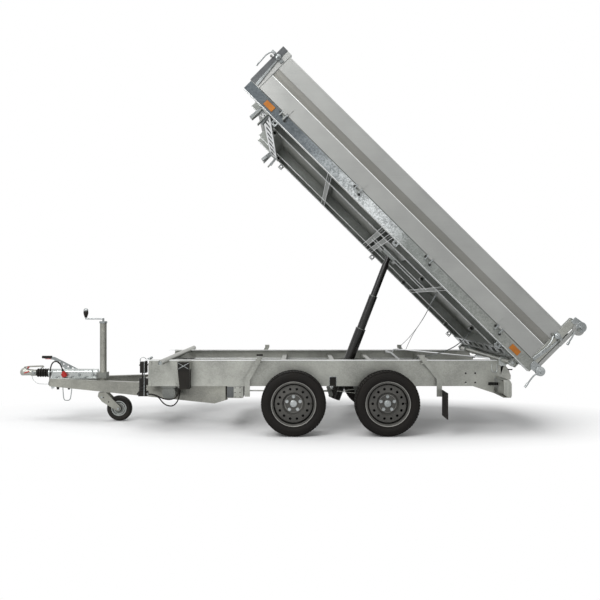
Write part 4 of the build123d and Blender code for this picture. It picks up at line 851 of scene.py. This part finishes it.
with newPiece("tail_post_faces", zincFrame, "bed", bevel=0.0012) as bm:
    addBoxes(bm, *bed["tailPostFace"])
with newPiece("latch_straps", zincBright, "bed", bevel=0.0015) as bm:
    for outline in latch["straps"]:
        addPlates(bm, outline, latch["strap"])
with newPiece("drop_side_latches", zincBright, "bed", bevel=0.0015) as bm:
    for x, z in latch["knobs"]:
        addPlates(bm, [(x + ahead, z + up) for ahead, up in latch["wing"]], latch["wingOut"])
        for side in (-1, 1):
            addTurned(bm, latch["knob"], (x, side * bed["half"], z), (0, side, 0), 32)
    for side in (-1, 1):
        addBend(bm, onSide(latch["lever"], side), latch["leverRadius"])
    addBoxes(bm, *latch["clip"])
with newPiece("latch_nuts", zincDark, "bed", bevel=0.001) as bm:
    addStuds(bm, latch["nuts"], latch["nutOut"], latch["nutRadius"], 6)
with newPiece("tail_pivots", zincBright, "bed", bevel=0.0015) as bm:
    for side in (-1, 1):
        for level in ("upper", "lower"):
            x, out, z = tail[level + "Place"]
            addTurned(bm, tail[level], (x, side * out, z), (0, side, 0), 40)
    for level in ("upper", "lower"):
        addPlates(bm, tail[level + "Plate"], tail[level + "Out"])
with newPiece("tail_levers", zincBright, "bed") as bm:
    for side in (-1, 1):
        for radius, points in tail["levers"]:
            addBend(bm, onSide(points, side), radius)
        for grip in tail["grips"]:
            addRod(bm, *onSide(grip, side), tail["gripRadius"], 20)
with newPiece("tail_lock_slots", blackPaint, "bed", bevel=0.001) as bm:
    addBoxes(bm, *tail["lock"])
print("latches made")

# Long grooves of the drop sides: lips whose near-white is a painted highlight, lines, and a floor and a slope
# between them in darker board as painted shade.
grooves = {"run": (-2.960, 0.063), "out": (0.9035, 0.9062), "lines": ((0.3400, 0.3432), (0.4550, 0.4565)),
           "lip": (0.2665, 0.2705), "floorOut": (0.8885, 0.8905), "floor": (0.2755, 0.2920),
           "slope": ((0.8895, 0.2920), (0.8895, 0.2935), (0.9052, 0.3395), (0.9040, 0.3395))}
for hand, side in hands.items():
    board = f"side_board_{hand}"
    face = sorted(side * out for out in grooves["out"])
    with newPiece(f"groove_lines_{hand}", boardMetal, board, bevel=0.0006) as bm:
        for z in grooves["lines"]:
            addBox(bm, grooves["run"], face, z)
    with newPiece(f"groove_highlight_lips_{hand}", paintedHighlightZinc, board, "anodised_aluminium", 0.0008) as bm:
        addBox(bm, grooves["run"], face, grooves["lip"])
    with newPiece(f"groove_shade_{hand}", boardShade, board) as bm:
        addBox(bm, grooves["run"], sorted(side * out for out in grooves["floorOut"]), grooves["floor"])
    with newPiece(f"groove_slope_{hand}", boardSlopeShade, board) as bm:
        loops = [[bm.verts.new((x, side * out, z)) for out, z in grooves["slope"]] for x in grooves["run"]]
        closeLoops(bm, loops)

# Hinge brackets with their screws, and the lashing eyes' frames, along the bed's rail.
hinges = {
    "places": (0.282, 1.060, 1.848, 2.676), "out": (0.905, 0.911),
    "bracket": ((-0.046, 0.098), (0.006, 0.098), (0.014, 0.074), (0.048, 0.074), (0.048, 0.088),
                (0.024, 0.090), (0.016, 0.114), (-0.046, 0.114)),
    "screws": ((-0.034, 0.106), (0.036, 0.081)), "screwSize": 0.015,
    "eyes": (0.195, 1.335, 2.683), "eyeHalf": 0.024, "eyeLevels": (-0.010, 0.036), "eyeWall": 0.006,
    "eyeOut": (0.901, 0.909),
}
with newPiece("hinge_brackets", zincBed, "bed", bevel=0.0015) as bm:
    for forward in hinges["places"]:
        addPlates(bm, [(x - forward, z) for x, z in hinges["bracket"]], hinges["out"])
spots, ways = [], []
for forward in hinges["places"]:
    for side in (-1, 1):
        for x, z in hinges["screws"]:
            spots.append((x - forward, side * hinges["out"][1], z))
            ways.append((0, side, 0))
boltField("hinge_screws", spots, ways, hinges["screwSize"], "bed", place=onBed, material=blackPaint)
with newPiece("eye_frames", zincBright, "bed", bevel=0.001) as bm:
    low, high = hinges["eyeLevels"]
    for forward in hinges["eyes"]:
        start, stop = -forward - hinges["eyeHalf"], -forward + hinges["eyeHalf"]
        addBoxes(bm, (start, start + hinges["eyeWall"]), hinges["eyeOut"], (low, high))
        addBoxes(bm, (stop - hinges["eyeWall"], stop), hinges["eyeOut"], (low, high))
        addBoxes(bm, (start, stop), hinges["eyeOut"], (low, low + hinges["eyeWall"]))

# Slotted beams under the bed: each face has slanted openings between two plain edges. The front beam's
# near-white zinc is painted light on faces in shade.
slotted = {"front": (-2.850, paintedHighlightZinc), "tail": (-0.140, zincBright), "width": 0.100, "half": 0.862,
           "levels": (0.0245, 0.0285), "pitch": 0.200, "count": 8, "slotWidth": 0.060, "slotLength": 0.098,
           "slant": 0.030}
for end in ("front", "tail"):
    start, finish = slotted[end]
    middle = start + slotted["width"] / 2
    inner, half = slotted["slotWidth"] / 2, slotted["half"]
    ends = [-half]
    for i in range(slotted["count"]):
        y = (i - (slotted["count"] - 1) / 2) * slotted["pitch"]
        ends += [y - slotted["slotLength"] / 2, y + slotted["slotLength"] / 2]
    ends.append(half)
    with newPiece(f"slotted_faces_{end}", finish, "bed", bevel=0.0006) as bm:
        for side in (-1, 1):
            edge = sorted((middle + side * inner, middle + side * slotted["width"] / 2))
            addBox(bm, edge, (-half, half), slotted["levels"])
        for low, high in zip(ends[0::2], ends[1::2]):
            a = slotted["slant"] if low > -half else 0
            c = slotted["slant"] if high < half else 0
            bridge = ((middle - inner, low - a), (middle + inner, low + a), (middle + inner, high + c),
                      (middle - inner, high - c))
            addPlate(bm, bridge, slotted["levels"], flat=True)

# Front saddle hooks that reach round the tipping tube, and pads that rest on the rails.
saddle = {
    "hook": ((-2.862, 0.034), (-2.868, -0.012), (-2.876, -0.082), (-2.846, -0.084), (-2.838, -0.020),
             (-2.8345, 0.004), (-2.825, 0.019), (-2.807, 0.0262), (-2.789, 0.019), (-2.7795, 0.004),
             (-2.775, -0.060), (-2.754, -0.056), (-2.762, 0.010), (-2.768, 0.034)),
    "hookOut": (0.800, 0.860), "pads": (-2.700, -0.950, -0.360), "padHalf": 0.016, "padOut": (0.500, 0.540),
    "padLevels": (0.000, 0.036), "padRound": 0.018, "padAxis": 0.008,
}
with newPiece("saddle_hooks", zincBright, "bed", bevel=0.004) as bm:
    addPlates(bm, saddle["hook"], saddle["hookOut"])
with newPiece("rest_pads", zincDark, "bed", bevel=0.002) as bm:
    for x in saddle["pads"]:
        addBoxes(bm, (x - saddle["padHalf"], x + saddle["padHalf"]), saddle["padOut"], saddle["padLevels"])
        addStuds(bm, ((x, saddle["padAxis"]),), saddle["padOut"], saddle["padRound"], 24)
print("slotted beams made")

# Floor sheets seen from below, the beams' flange edges as near-white strips of painted highlight, and the
# gussets beside the ram's head.
under = {
    "sheetLevels": (0.1135, 0.1175),
    "bays": ((-2.740, -2.100), (-2.080, -1.490), (-1.390, -0.814), (-0.794, -0.150)),
    # Sheets beside the middle and beside the rails. In the head's bay the inner ones leave room for the ram.
    "strips": ((0.006, 0.495), (0.545, 0.860)), "headBay": (-1.390, -0.814),
    "headStrips": ((0.110, 0.495), (0.545, 0.860)),
    "edgeHalf": 0.0015, "edgeLevels": (0.0345, 0.0370),
    # Lengthwise edges: their distances out, run and levels.
    "lengthwise": (((0.500, 0.540), (-3.000, -0.022), (0.0345, 0.0370)),
                   ((0.062, 0.102), (-1.480, -0.804), (0.0345, 0.0370)),
                   ((0.8615, 0.905), (-3.050, 0.128), (0.0345, 0.0375))),
    "crossing": (-2.110, -2.070, -1.500, -1.460, -1.420, -1.380, -0.824, -0.784), "crossHalf": 0.860,
    "gussets": ((-1.390, -1.310), (-1.230, -1.150)), "gussetOut": (0.108, 0.500),
    "gussetLevels": (0.058, 0.060),
}
with newPiece("floor_sheets", zincSheet, "bed", bevel=0.001) as bm:
    for bay in under["bays"]:
        for strip in under["headStrips"] if bay == under["headBay"] else under["strips"]:
            addBoxes(bm, bay, strip, under["sheetLevels"])
with newPiece("flange_highlight_edges", paintedHighlightZinc, "bed") as bm:
    for outs, x, z in under["lengthwise"]:
        for side in (-1, 1):
            for out in outs:
                addBox(bm, x, (side * out - under["edgeHalf"], side * out + under["edgeHalf"]), z)
    for x in under["crossing"]:
        addBox(bm, (x - under["edgeHalf"], x + under["edgeHalf"]), (-under["crossHalf"], under["crossHalf"]),
               under["edgeLevels"])
with newPiece("head_gussets", zincBed, "bed", bevel=0.001) as bm:
    for x in under["gussets"]:
        addBoxes(bm, x, under["gussetOut"], under["gussetLevels"])
print("underside made")

# Bed rail faces: one thin skin of zinc, darker in front, bright in the middle.
railFace = {"run": (-3.052, 0.130), "out": (0.905, 0.906), "levels": (0.039, 0.1205), "crystal": 9.0,
            # Along the rail: share of the run, darker colour, lighter colour.
            "bands": ((0.0, "44494C", "565C5F"), (0.15, "484D50", "5C6265"), (0.24, "5A6063", "868C8F"),
                      (0.37, "848888", "D2D6D6"), (0.50, "8C9090", "DCE0E0"), (0.56, "747875", "8E928F"),
                      (1.0, "7E807C", "93958F"))}


def bandedRail(given):
    # Zinc on a long rail: blue-grey and darker in front, then light crystals brightest in the middle, then
    # plain grey.
    material, tree, place = startMaterial("banded_galvanised_rail")
    local = addNode(tree, "ShaderNodeMapping", {"vector_type": "TEXTURE", "Location": tuple(hinge),
                                                "Rotation": (0, tipTurn, 0)}, {"Vector": place})
    ahead = addNode(tree, "ShaderNodeSeparateXYZ", links={"Vector": local.outputs[0]}).outputs["X"]
    low, high = given["run"]
    along = addNode(tree, "ShaderNodeMapRange", {1: low, 2: high}, {0: ahead}).outputs[0]
    cells = addNode(tree, "ShaderNodeTexVoronoi", {"Scale": 1000 / given["crystal"]}, {"Vector": place})
    clouds = addNode(tree, "ShaderNodeTexNoise", {"Scale": 1000 / pattern["dust"], "Detail": 6.0},
                     {"Vector": place})
    split = addNode(tree, "ShaderNodeSeparateColor", links={"Color": cells.outputs["Color"]})
    both = addNode(tree, "ShaderNodeMath", {"operation": "MULTIPLY_ADD", 1: 0.5},
                   {0: split.outputs["Red"], 2: clouds.outputs["Fac"]})
    share = ramp(tree, both.outputs["Value"], ((0.45, 0.0), (1.0, 1.0)))
    dull = ramp(tree, along, [(stop, dark) for stop, dark, light in given["bands"]])
    lightBand = ramp(tree, along, [(stop, light) for stop, dark, light in given["bands"]])
    colour = addNode(tree, "ShaderNodeMix", {"data_type": "RGBA"}, {0: share, 6: dull, 7: lightBand}).outputs[2]
    grain = addNode(tree, "ShaderNodeTexNoise", {"Scale": 1000 / pattern["zincGrain"], "Detail": 3.0},
                    {"Vector": place})
    return endMaterial(material, tree, colour, 0.42, grain.outputs["Fac"], 0.0003, metallic=0.7)


with newPiece("rail_faces", bandedRail(railFace), "bed") as bm:
    addBoxes(bm, railFace["run"], railFace["out"], railFace["levels"])

# Cheeks either side of the cylinder's head in a painted sheen, and wiper rings on the heads of its sleeves
# whose grey zinc is a painted highlight on the black paint.
ram = {
    "cheek": ((-1.337, -1.199), (0.0540, 0.0552), (0.012, 0.108)),
    "trunnion": (0.587, 0.0, 0.485), "head": (0.9860, 0.0, 1.5194),
    "ringHeight": 0.0034, "ringShoulder": 0.00204, "ringEase": 0.001,
    # Each sleeve's head: distance from the trunnion, inner and outer radius of its ring.
    "rings": {"cylinder_barrel": (0.0470, 0.0495, 0.0580), "cylinder_stage_1": (0.3692, 0.0410, 0.0480),
              "cylinder_stage_2": (0.6915, 0.0335, 0.0395)},
}
with newPiece("head_cheek_faces", paintedSheenZinc, "bed", bevel=0.0005) as bm:
    addBoxes(bm, *ram["cheek"])
lean = (Vector(ram["head"]) - Vector(ram["trunnion"])).normalized()
up = ram["ringHeight"]
for body, (along, inner, outer) in ram["rings"].items():
    with newPiece(f"{body}_wiper_highlight", zincDark, body, "cylinder_paint") as bm:
        section = ((inner, -up), (outer, -up), (outer, ram["ringShoulder"]), (outer - ram["ringEase"], up),
                   (inner, up))
        addTurned(bm, section, Vector(ram["trunnion"]) + lean * along, lean, 48, close=True)

# Fittings of the rear tipping hinge on the rail: saddle plate, shackle, latch bar and end plate.
rear = {
    "plateOut": (0.614, 0.622),
    "plate": ((1.812, 0.560), (1.816, 0.604), (1.834, 0.626), (1.874, 0.626), (1.889, 0.608), (1.889, 0.572),
              (1.872, 0.547), (1.828, 0.545)),
    "shackle": ((1.757, 0.612, 0.562), (1.755, 0.618, 0.524), (1.760, 0.619, 0.496), (1.797, 0.619, 0.494),
                (1.803, 0.618, 0.522), (1.800, 0.612, 0.560)),
    "shackleRadius": 0.004, "pin": ((1.786, 0.610, 0.448), (1.786, 0.617, 0.448)), "pinRadius": 0.008,
    "latches": (((1.728, 1.838), (0.385, 0.410)), ((1.893, 1.930), (0.511, 0.521))),
    "latchOut": (0.610, 0.617), "endOut": (0.605, 0.610),
    "end": ((1.832, 0.562), (1.868, 0.555), (1.897, 0.520), (1.918, 0.466), (1.916, 0.432), (1.832, 0.432)),
}
# Saddle plate, shackle and pin in the lighter zinc: a painted sheen.
with newPiece("hinge_plates", paintedSheenZinc, bevel=0.001) as bm:
    addPlates(bm, rear["plate"], rear["plateOut"])
    for side in (-1, 1):
        addBend(bm, onSide(rear["shackle"], side), rear["shackleRadius"])
        addRod(bm, *onSide(rear["pin"], side), rear["pinRadius"], 16)
with newPiece("hinge_latches", blackPaint, bevel=0.002) as bm:
    for x, z in rear["latches"]:
        addBoxes(bm, x, rear["latchOut"], z)
with newPiece("rail_end_plates", zincFrame, bevel=0.001) as bm:
    addPlates(bm, rear["end"], rear["endOut"])

# Grey end plates close the light beam over the lamps' ends.
beam = {
    "endOut": (0.8705, 0.8835),
    "end": ((1.779, 0.458), (1.812, 0.458), (1.8425, 0.430), (1.8425, 0.330), (1.812, 0.320), (1.779, 0.345)),
    "web": ((1.8030, 1.8075), (0.640, 0.8712), (0.334, 0.436)),
    "seams": (1.7950, 1.8250), "seamWidth": 0.002, "seamOut": (0.8835, 0.8841), "seamLevels": (0.335, 0.440),
}
with newPiece("beam_end_plates", zincFrame, bevel=0.001) as bm:
    addPlates(bm, beam["end"], beam["endOut"])
    addBoxes(bm, *beam["web"])
with newPiece("beam_end_seams", zincDark) as bm:
    for x in beam["seams"]:
        addBoxes(bm, (x, x + beam["seamWidth"]), beam["seamOut"], beam["seamLevels"])

# Crossing rod, strap and long thin rods between the rails, in near-white zinc as a painted highlight.
stay = {
    "rod": ((1.088, 0.5490, 0.575), (1.089, 0.5488, 0.604), (1.120, 0.500, 0.607), (1.425, 0.0, 0.607),
            (1.735, -0.505, 0.607), (1.764, -0.5488, 0.604), (1.765, -0.5490, 0.575)),
    "rodRadius": 0.006,
    "strap": ((1.014, 0.592), (1.076, 0.578), (1.158, 0.505), (1.146, 0.494), (1.066, 0.562), (1.014, 0.574)),
    "strapSide": (0.543, 0.5498),
    "thin": ((-1.000, 0.5480, 0.512), (1.290, 0.5480, 0.512)), "thinRadius": 0.0035,
}
with newPiece("rail_stay_rod", paintedHighlightZinc) as bm:
    addBend(bm, stay["rod"], stay["rodRadius"])
    addPlate(bm, stay["strap"], stay["strapSide"])
    for side in (-1, 1):
        addRod(bm, *onSide(stay["thin"], side), stay["thinRadius"], 12)

# Dark pockets with crossed wires above the wheel chocks.
chocks = {"pocket": ((-0.843, -0.744), (0.7132, 0.7152), (0.522, 0.586)), "wireRadius": 0.0022,
          "wires": (((-0.836, 0.7165, 0.530), (-0.793, 0.7175, 0.554), (-0.752, 0.7165, 0.578)),
                    ((-0.836, 0.7165, 0.578), (-0.793, 0.7175, 0.554), (-0.752, 0.7165, 0.530)))}
with newPiece("chock_pockets", blackPlastic, bevel=0.001) as bm:
    addBoxes(bm, *chocks["pocket"])
with newPiece("chock_wires", zincBright) as bm:
    for side in (-1, 1):
        for wire in chocks["wires"]:
            addBend(bm, onSide(wire, side), chocks["wireRadius"], 8)

# Saddle plates in front of the first axle: a plate with six holes, dark discs of painted shade in them,
# before a darker one.
plates = {"front": ((-0.392, -0.330), (0.6025, 0.6055), (0.276, 0.372)),
          "back": ((-0.449, -0.394), (0.6025, 0.6040), (0.281, 0.370)),
          "holesX": (-0.382, -0.340), "holesZ": (0.286, 0.324, 0.362), "holeOut": (0.6055, 0.6061),
          "holeRadius": 0.0045}
with newPiece("saddle_plates", zincFrame, bevel=0.001) as bm:
    addBoxes(bm, *plates["front"])
with newPiece("saddle_plate_backs", zincPost) as bm:
    addBoxes(bm, *plates["back"])
with newPiece("saddle_plate_hole_shades", blackPaint) as bm:
    spots = [(x, z) for x in plates["holesX"] for z in plates["holesZ"]]
    addStuds(bm, spots, plates["holeOut"], plates["holeRadius"], 12)
print("tail and saddle fittings made")

# Check ropes and a wire between chassis and bed, across the tipping joint.
ropes = {
    "check_rope_1": {"diameter": 0.005, "points": (
        (1.106, 0.549, 0.590), (1.185, 0.420, 0.673), (1.255, 0.250, 0.794), (1.300, 0.120, 0.894),
        (1.346, 0.000, 1.016), (1.368, -0.045, 1.090), (1.4215, -0.060, 1.1803))},
    "check_rope_2": {"diameter": 0.005, "points": (
        (1.215, 0.549, 0.590), (1.248, 0.380, 0.746), (1.324, 0.140, 0.920), (1.358, 0.020, 1.030),
        (1.376, -0.035, 1.090), (1.4285, -0.050, 1.1733))},
    "bed_wire": {"diameter": 0.009, "points": (
        (1.130, -0.545, 0.585), (1.170, -0.490, 0.618), (1.240, -0.400, 0.608), (1.360, -0.360, 0.625),
        (1.515, -0.330, 0.684), (1.627, -0.300, 0.775), (1.7200, -0.300, 0.8850))},
}
for name, given in ropes.items():
    points, diameter = given["points"], given["diameter"]
    path = smoothPath(points)
    length = round(sum((b - a).length for a, b in zip(path, path[1:])), 3)
    with newPiece(name, zincBright, None) as bm:
        addBend(bm, path, diameter / 2)
    rope = made[name]
    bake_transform(rope)
    print(name, length)

# Strain relief at the gland and the plug, and the plug's rings.
relief = {
    "gland": ((0.0060, 0.0), (0.0110, 0.0), (0.0110, 0.006), (0.0088, 0.012), (0.0092, 0.014),
              (0.0078, 0.020), (0.0082, 0.022), (0.0068, 0.030), (0.0060, 0.030)),
    "plug": ((0.0060, 0.0), (0.0125, 0.0), (0.0120, 0.006), (0.0092, 0.010), (0.0098, 0.012),
             (0.0082, 0.018), (0.0070, 0.024), (0.0060, 0.024)),
    "plugInset": 0.002, "rings": (0.019, 0.030, 0.041),
    "ring": ((0.0225, 0.0), (0.0246, 0.001), (0.0246, 0.005), (0.0225, 0.006)),
    "collar": ((0.0135, 0.004), (0.0152, 0.005), (0.0152, 0.010), (0.0135, 0.011)),
}
route = cordTable["plug_lead"]["route"]
plugStart = Vector(route[-1])
plugWay = (plugStart - Vector(route[-2])).normalized()
with newPiece("gland_boot", softRubber) as bm:
    addTurned(bm, relief["gland"], route[0], (0, 0, 1), 32, close=True)
with newPiece("plug_boot", softRubber) as bm:
    addTurned(bm, relief["plug"], plugStart + plugWay * relief["plugInset"], -plugWay, 32, close=True)
with newPiece("plug_rings", redPlastic) as bm:
    for along in relief["rings"]:
        ring = [(radius, along + step) for radius, step in relief["ring"]]
        addTurned(bm, ring, plugStart, plugWay, 40, close=True)
    addTurned(bm, relief["collar"], plugStart, plugWay, 32, close=True)


# Tipping tubes: collars on the rear one, bright caps in the ends of both. Painted highlights along the rails'
# top edges.
tubes = {
    "front": -0.953, "rear": 1.854, "height": 0.594, "collarOut": 0.850, "capOut": 0.870,
    "collar": ((0.0228, 0.0), (0.0300, 0.002), (0.0300, 0.020), (0.0228, 0.024)),
    "cap": ((0.0, 0.006), (0.0160, 0.0055), (0.0215, 0.002), (0.0215, -0.010), (0.0, -0.010)),
    "edges": (-0.6105, -0.5495, 0.5495, 0.6105), "edgeRun": (-1.150, 1.800), "edgeHalf": 0.0010,
    "edgeLevels": (0.5900, 0.5945),
}
z = tubes["height"]
with newPiece("tube_collars_outer", zincBright) as bm:
    for side in (-1, 1):
        addTurned(bm, tubes["collar"], (tubes["rear"], side * tubes["collarOut"], z), (0, side, 0), 40)
with newPiece("tipping_tube_caps", zincBright) as bm:
    for x in (tubes["front"], tubes["rear"]):
        for side in (-1, 1):
            addTurned(bm, tubes["cap"], (x, side * tubes["capOut"], z), (0, side, 0), 40)
with newPiece("rail_top_highlights", paintedHighlightZinc) as bm:
    for y in tubes["edges"]:
        addBox(bm, tubes["edgeRun"], (y - tubes["edgeHalf"], y + tubes["edgeHalf"]), tubes["edgeLevels"])

# Stage: a pale floor that fades into the white backdrop, a soft sky and two area lights.
studio = {
    "floor": 60.0, "floorGrey": "D8D8D8", "floorGlow": 0.05,
    "fade": (0.95, 1.50), "fadeShape": (0.42, 1.0, 1.0),
    "sky": "F6F7F8", "skyLow": 0.34, "skyTop": 1.0,
    # Each light: name, place, aim, size and power.
    "lights": (("key", (-3.0, -5.5, 5.0), (0.2, 0, 1.2), 3.0, 260.0),
               ("top", (0.5, -0.5, 7.5), (0.3, 0, 1.0), 6.0, 300.0)),
}
floorMesh = bpy.data.meshes.new("floor")
half = studio["floor"]
floorMesh.from_pydata([(-half, -half, 0), (half, -half, 0), (half, half, 0), (-half, half, 0)],
                      [], [(0, 1, 2, 3)])
floor = placeObject("floor", floorMesh)
# Pale paper: matt, and away from the trailer as white as the backdrop to the lens.
paper, tree, place = startMaterial("pale_paper")
seen = addNode(tree, "ShaderNodeLightPath").outputs["Is Camera Ray"]
lift = addNode(tree, "ShaderNodeMath", {"operation": "MULTIPLY", 1: studio["floorGlow"]}, {0: seen})
matt = addNode(tree, "ShaderNodeBsdfDiffuse", {"Color": linearColour(studio["floorGrey"])})
lit = addNode(tree, "ShaderNodeEmission", {"Color": (1, 1, 1, 1)}, {"Strength": lift.outputs[0]})
added = addNode(tree, "ShaderNodeAddShader", links={0: matt.outputs[0], 1: lit.outputs[0]})
oval = addNode(tree, "ShaderNodeVectorMath", {"operation": "MULTIPLY", 1: studio["fadeShape"]},
               {0: place}).outputs[0]
reach = addNode(tree, "ShaderNodeVectorMath", {"operation": "LENGTH"}, {0: oval}).outputs["Value"]
far = addNode(tree, "ShaderNodeMapRange", {1: studio["fade"][0], 2: studio["fade"][1]}, {0: reach}).outputs[0]
fade = addNode(tree, "ShaderNodeMath", {"operation": "MULTIPLY"}, {0: far, 1: seen})
plain = addNode(tree, "ShaderNodeEmission", {"Color": (1, 1, 1, 1), "Strength": 1.0})
joined = addNode(tree, "ShaderNodeMixShader",
                 links={0: fade.outputs[0], 1: added.outputs[0], 2: plain.outputs[0]})
addNode(tree, "ShaderNodeOutputMaterial", links={"Surface": joined.outputs[0]})
floorMesh.materials.append(paper)

world = bpy.data.worlds.new("soft_studio")
bpy.context.scene.world = world
world.use_nodes = True
tree = world.node_tree
tree.nodes.clear()
rays = addNode(tree, "ShaderNodeLightPath")
clear = addNode(tree, "ShaderNodeMath", {"operation": "MAXIMUM"},
                {0: rays.outputs["Is Camera Ray"], 1: rays.outputs["Is Transmission Ray"]})
seen = addNode(tree, "ShaderNodeMath", {"operation": "MAXIMUM"},
               {0: clear.outputs[0], 1: rays.outputs["Is Glossy Ray"]})
way = addNode(tree, "ShaderNodeTexCoord").outputs["Generated"]
height = addNode(tree, "ShaderNodeSeparateXYZ", links={"Vector": way}).outputs["Z"]
glowPower = addNode(tree, "ShaderNodeMapRange", {1: 0.0, 2: 0.9, 3: studio["skyLow"], 4: studio["skyTop"]},
                    {0: height})
glow = addNode(tree, "ShaderNodeBackground", {"Color": linearColour(studio["sky"])},
               {"Strength": glowPower.outputs[0]})
white = addNode(tree, "ShaderNodeBackground", {"Color": (1, 1, 1, 1), "Strength": 1.0})
mixed = addNode(tree, "ShaderNodeMixShader",
                links={0: seen.outputs[0], 1: glow.outputs[0], 2: white.outputs[0]})
addNode(tree, "ShaderNodeOutputWorld", links={"Surface": mixed.outputs[0]})

for name, place, aim, size, power in studio["lights"]:
    light = bpy.data.lights.new(name, "AREA")
    light.size = size
    light.energy = power
    lamp = placeObject(name, light)
    lamp.location = place
    lamp.rotation_euler = (Vector(aim) - Vector(place)).to_track_quat("-Z", "Y").to_euler()
print("stage set")
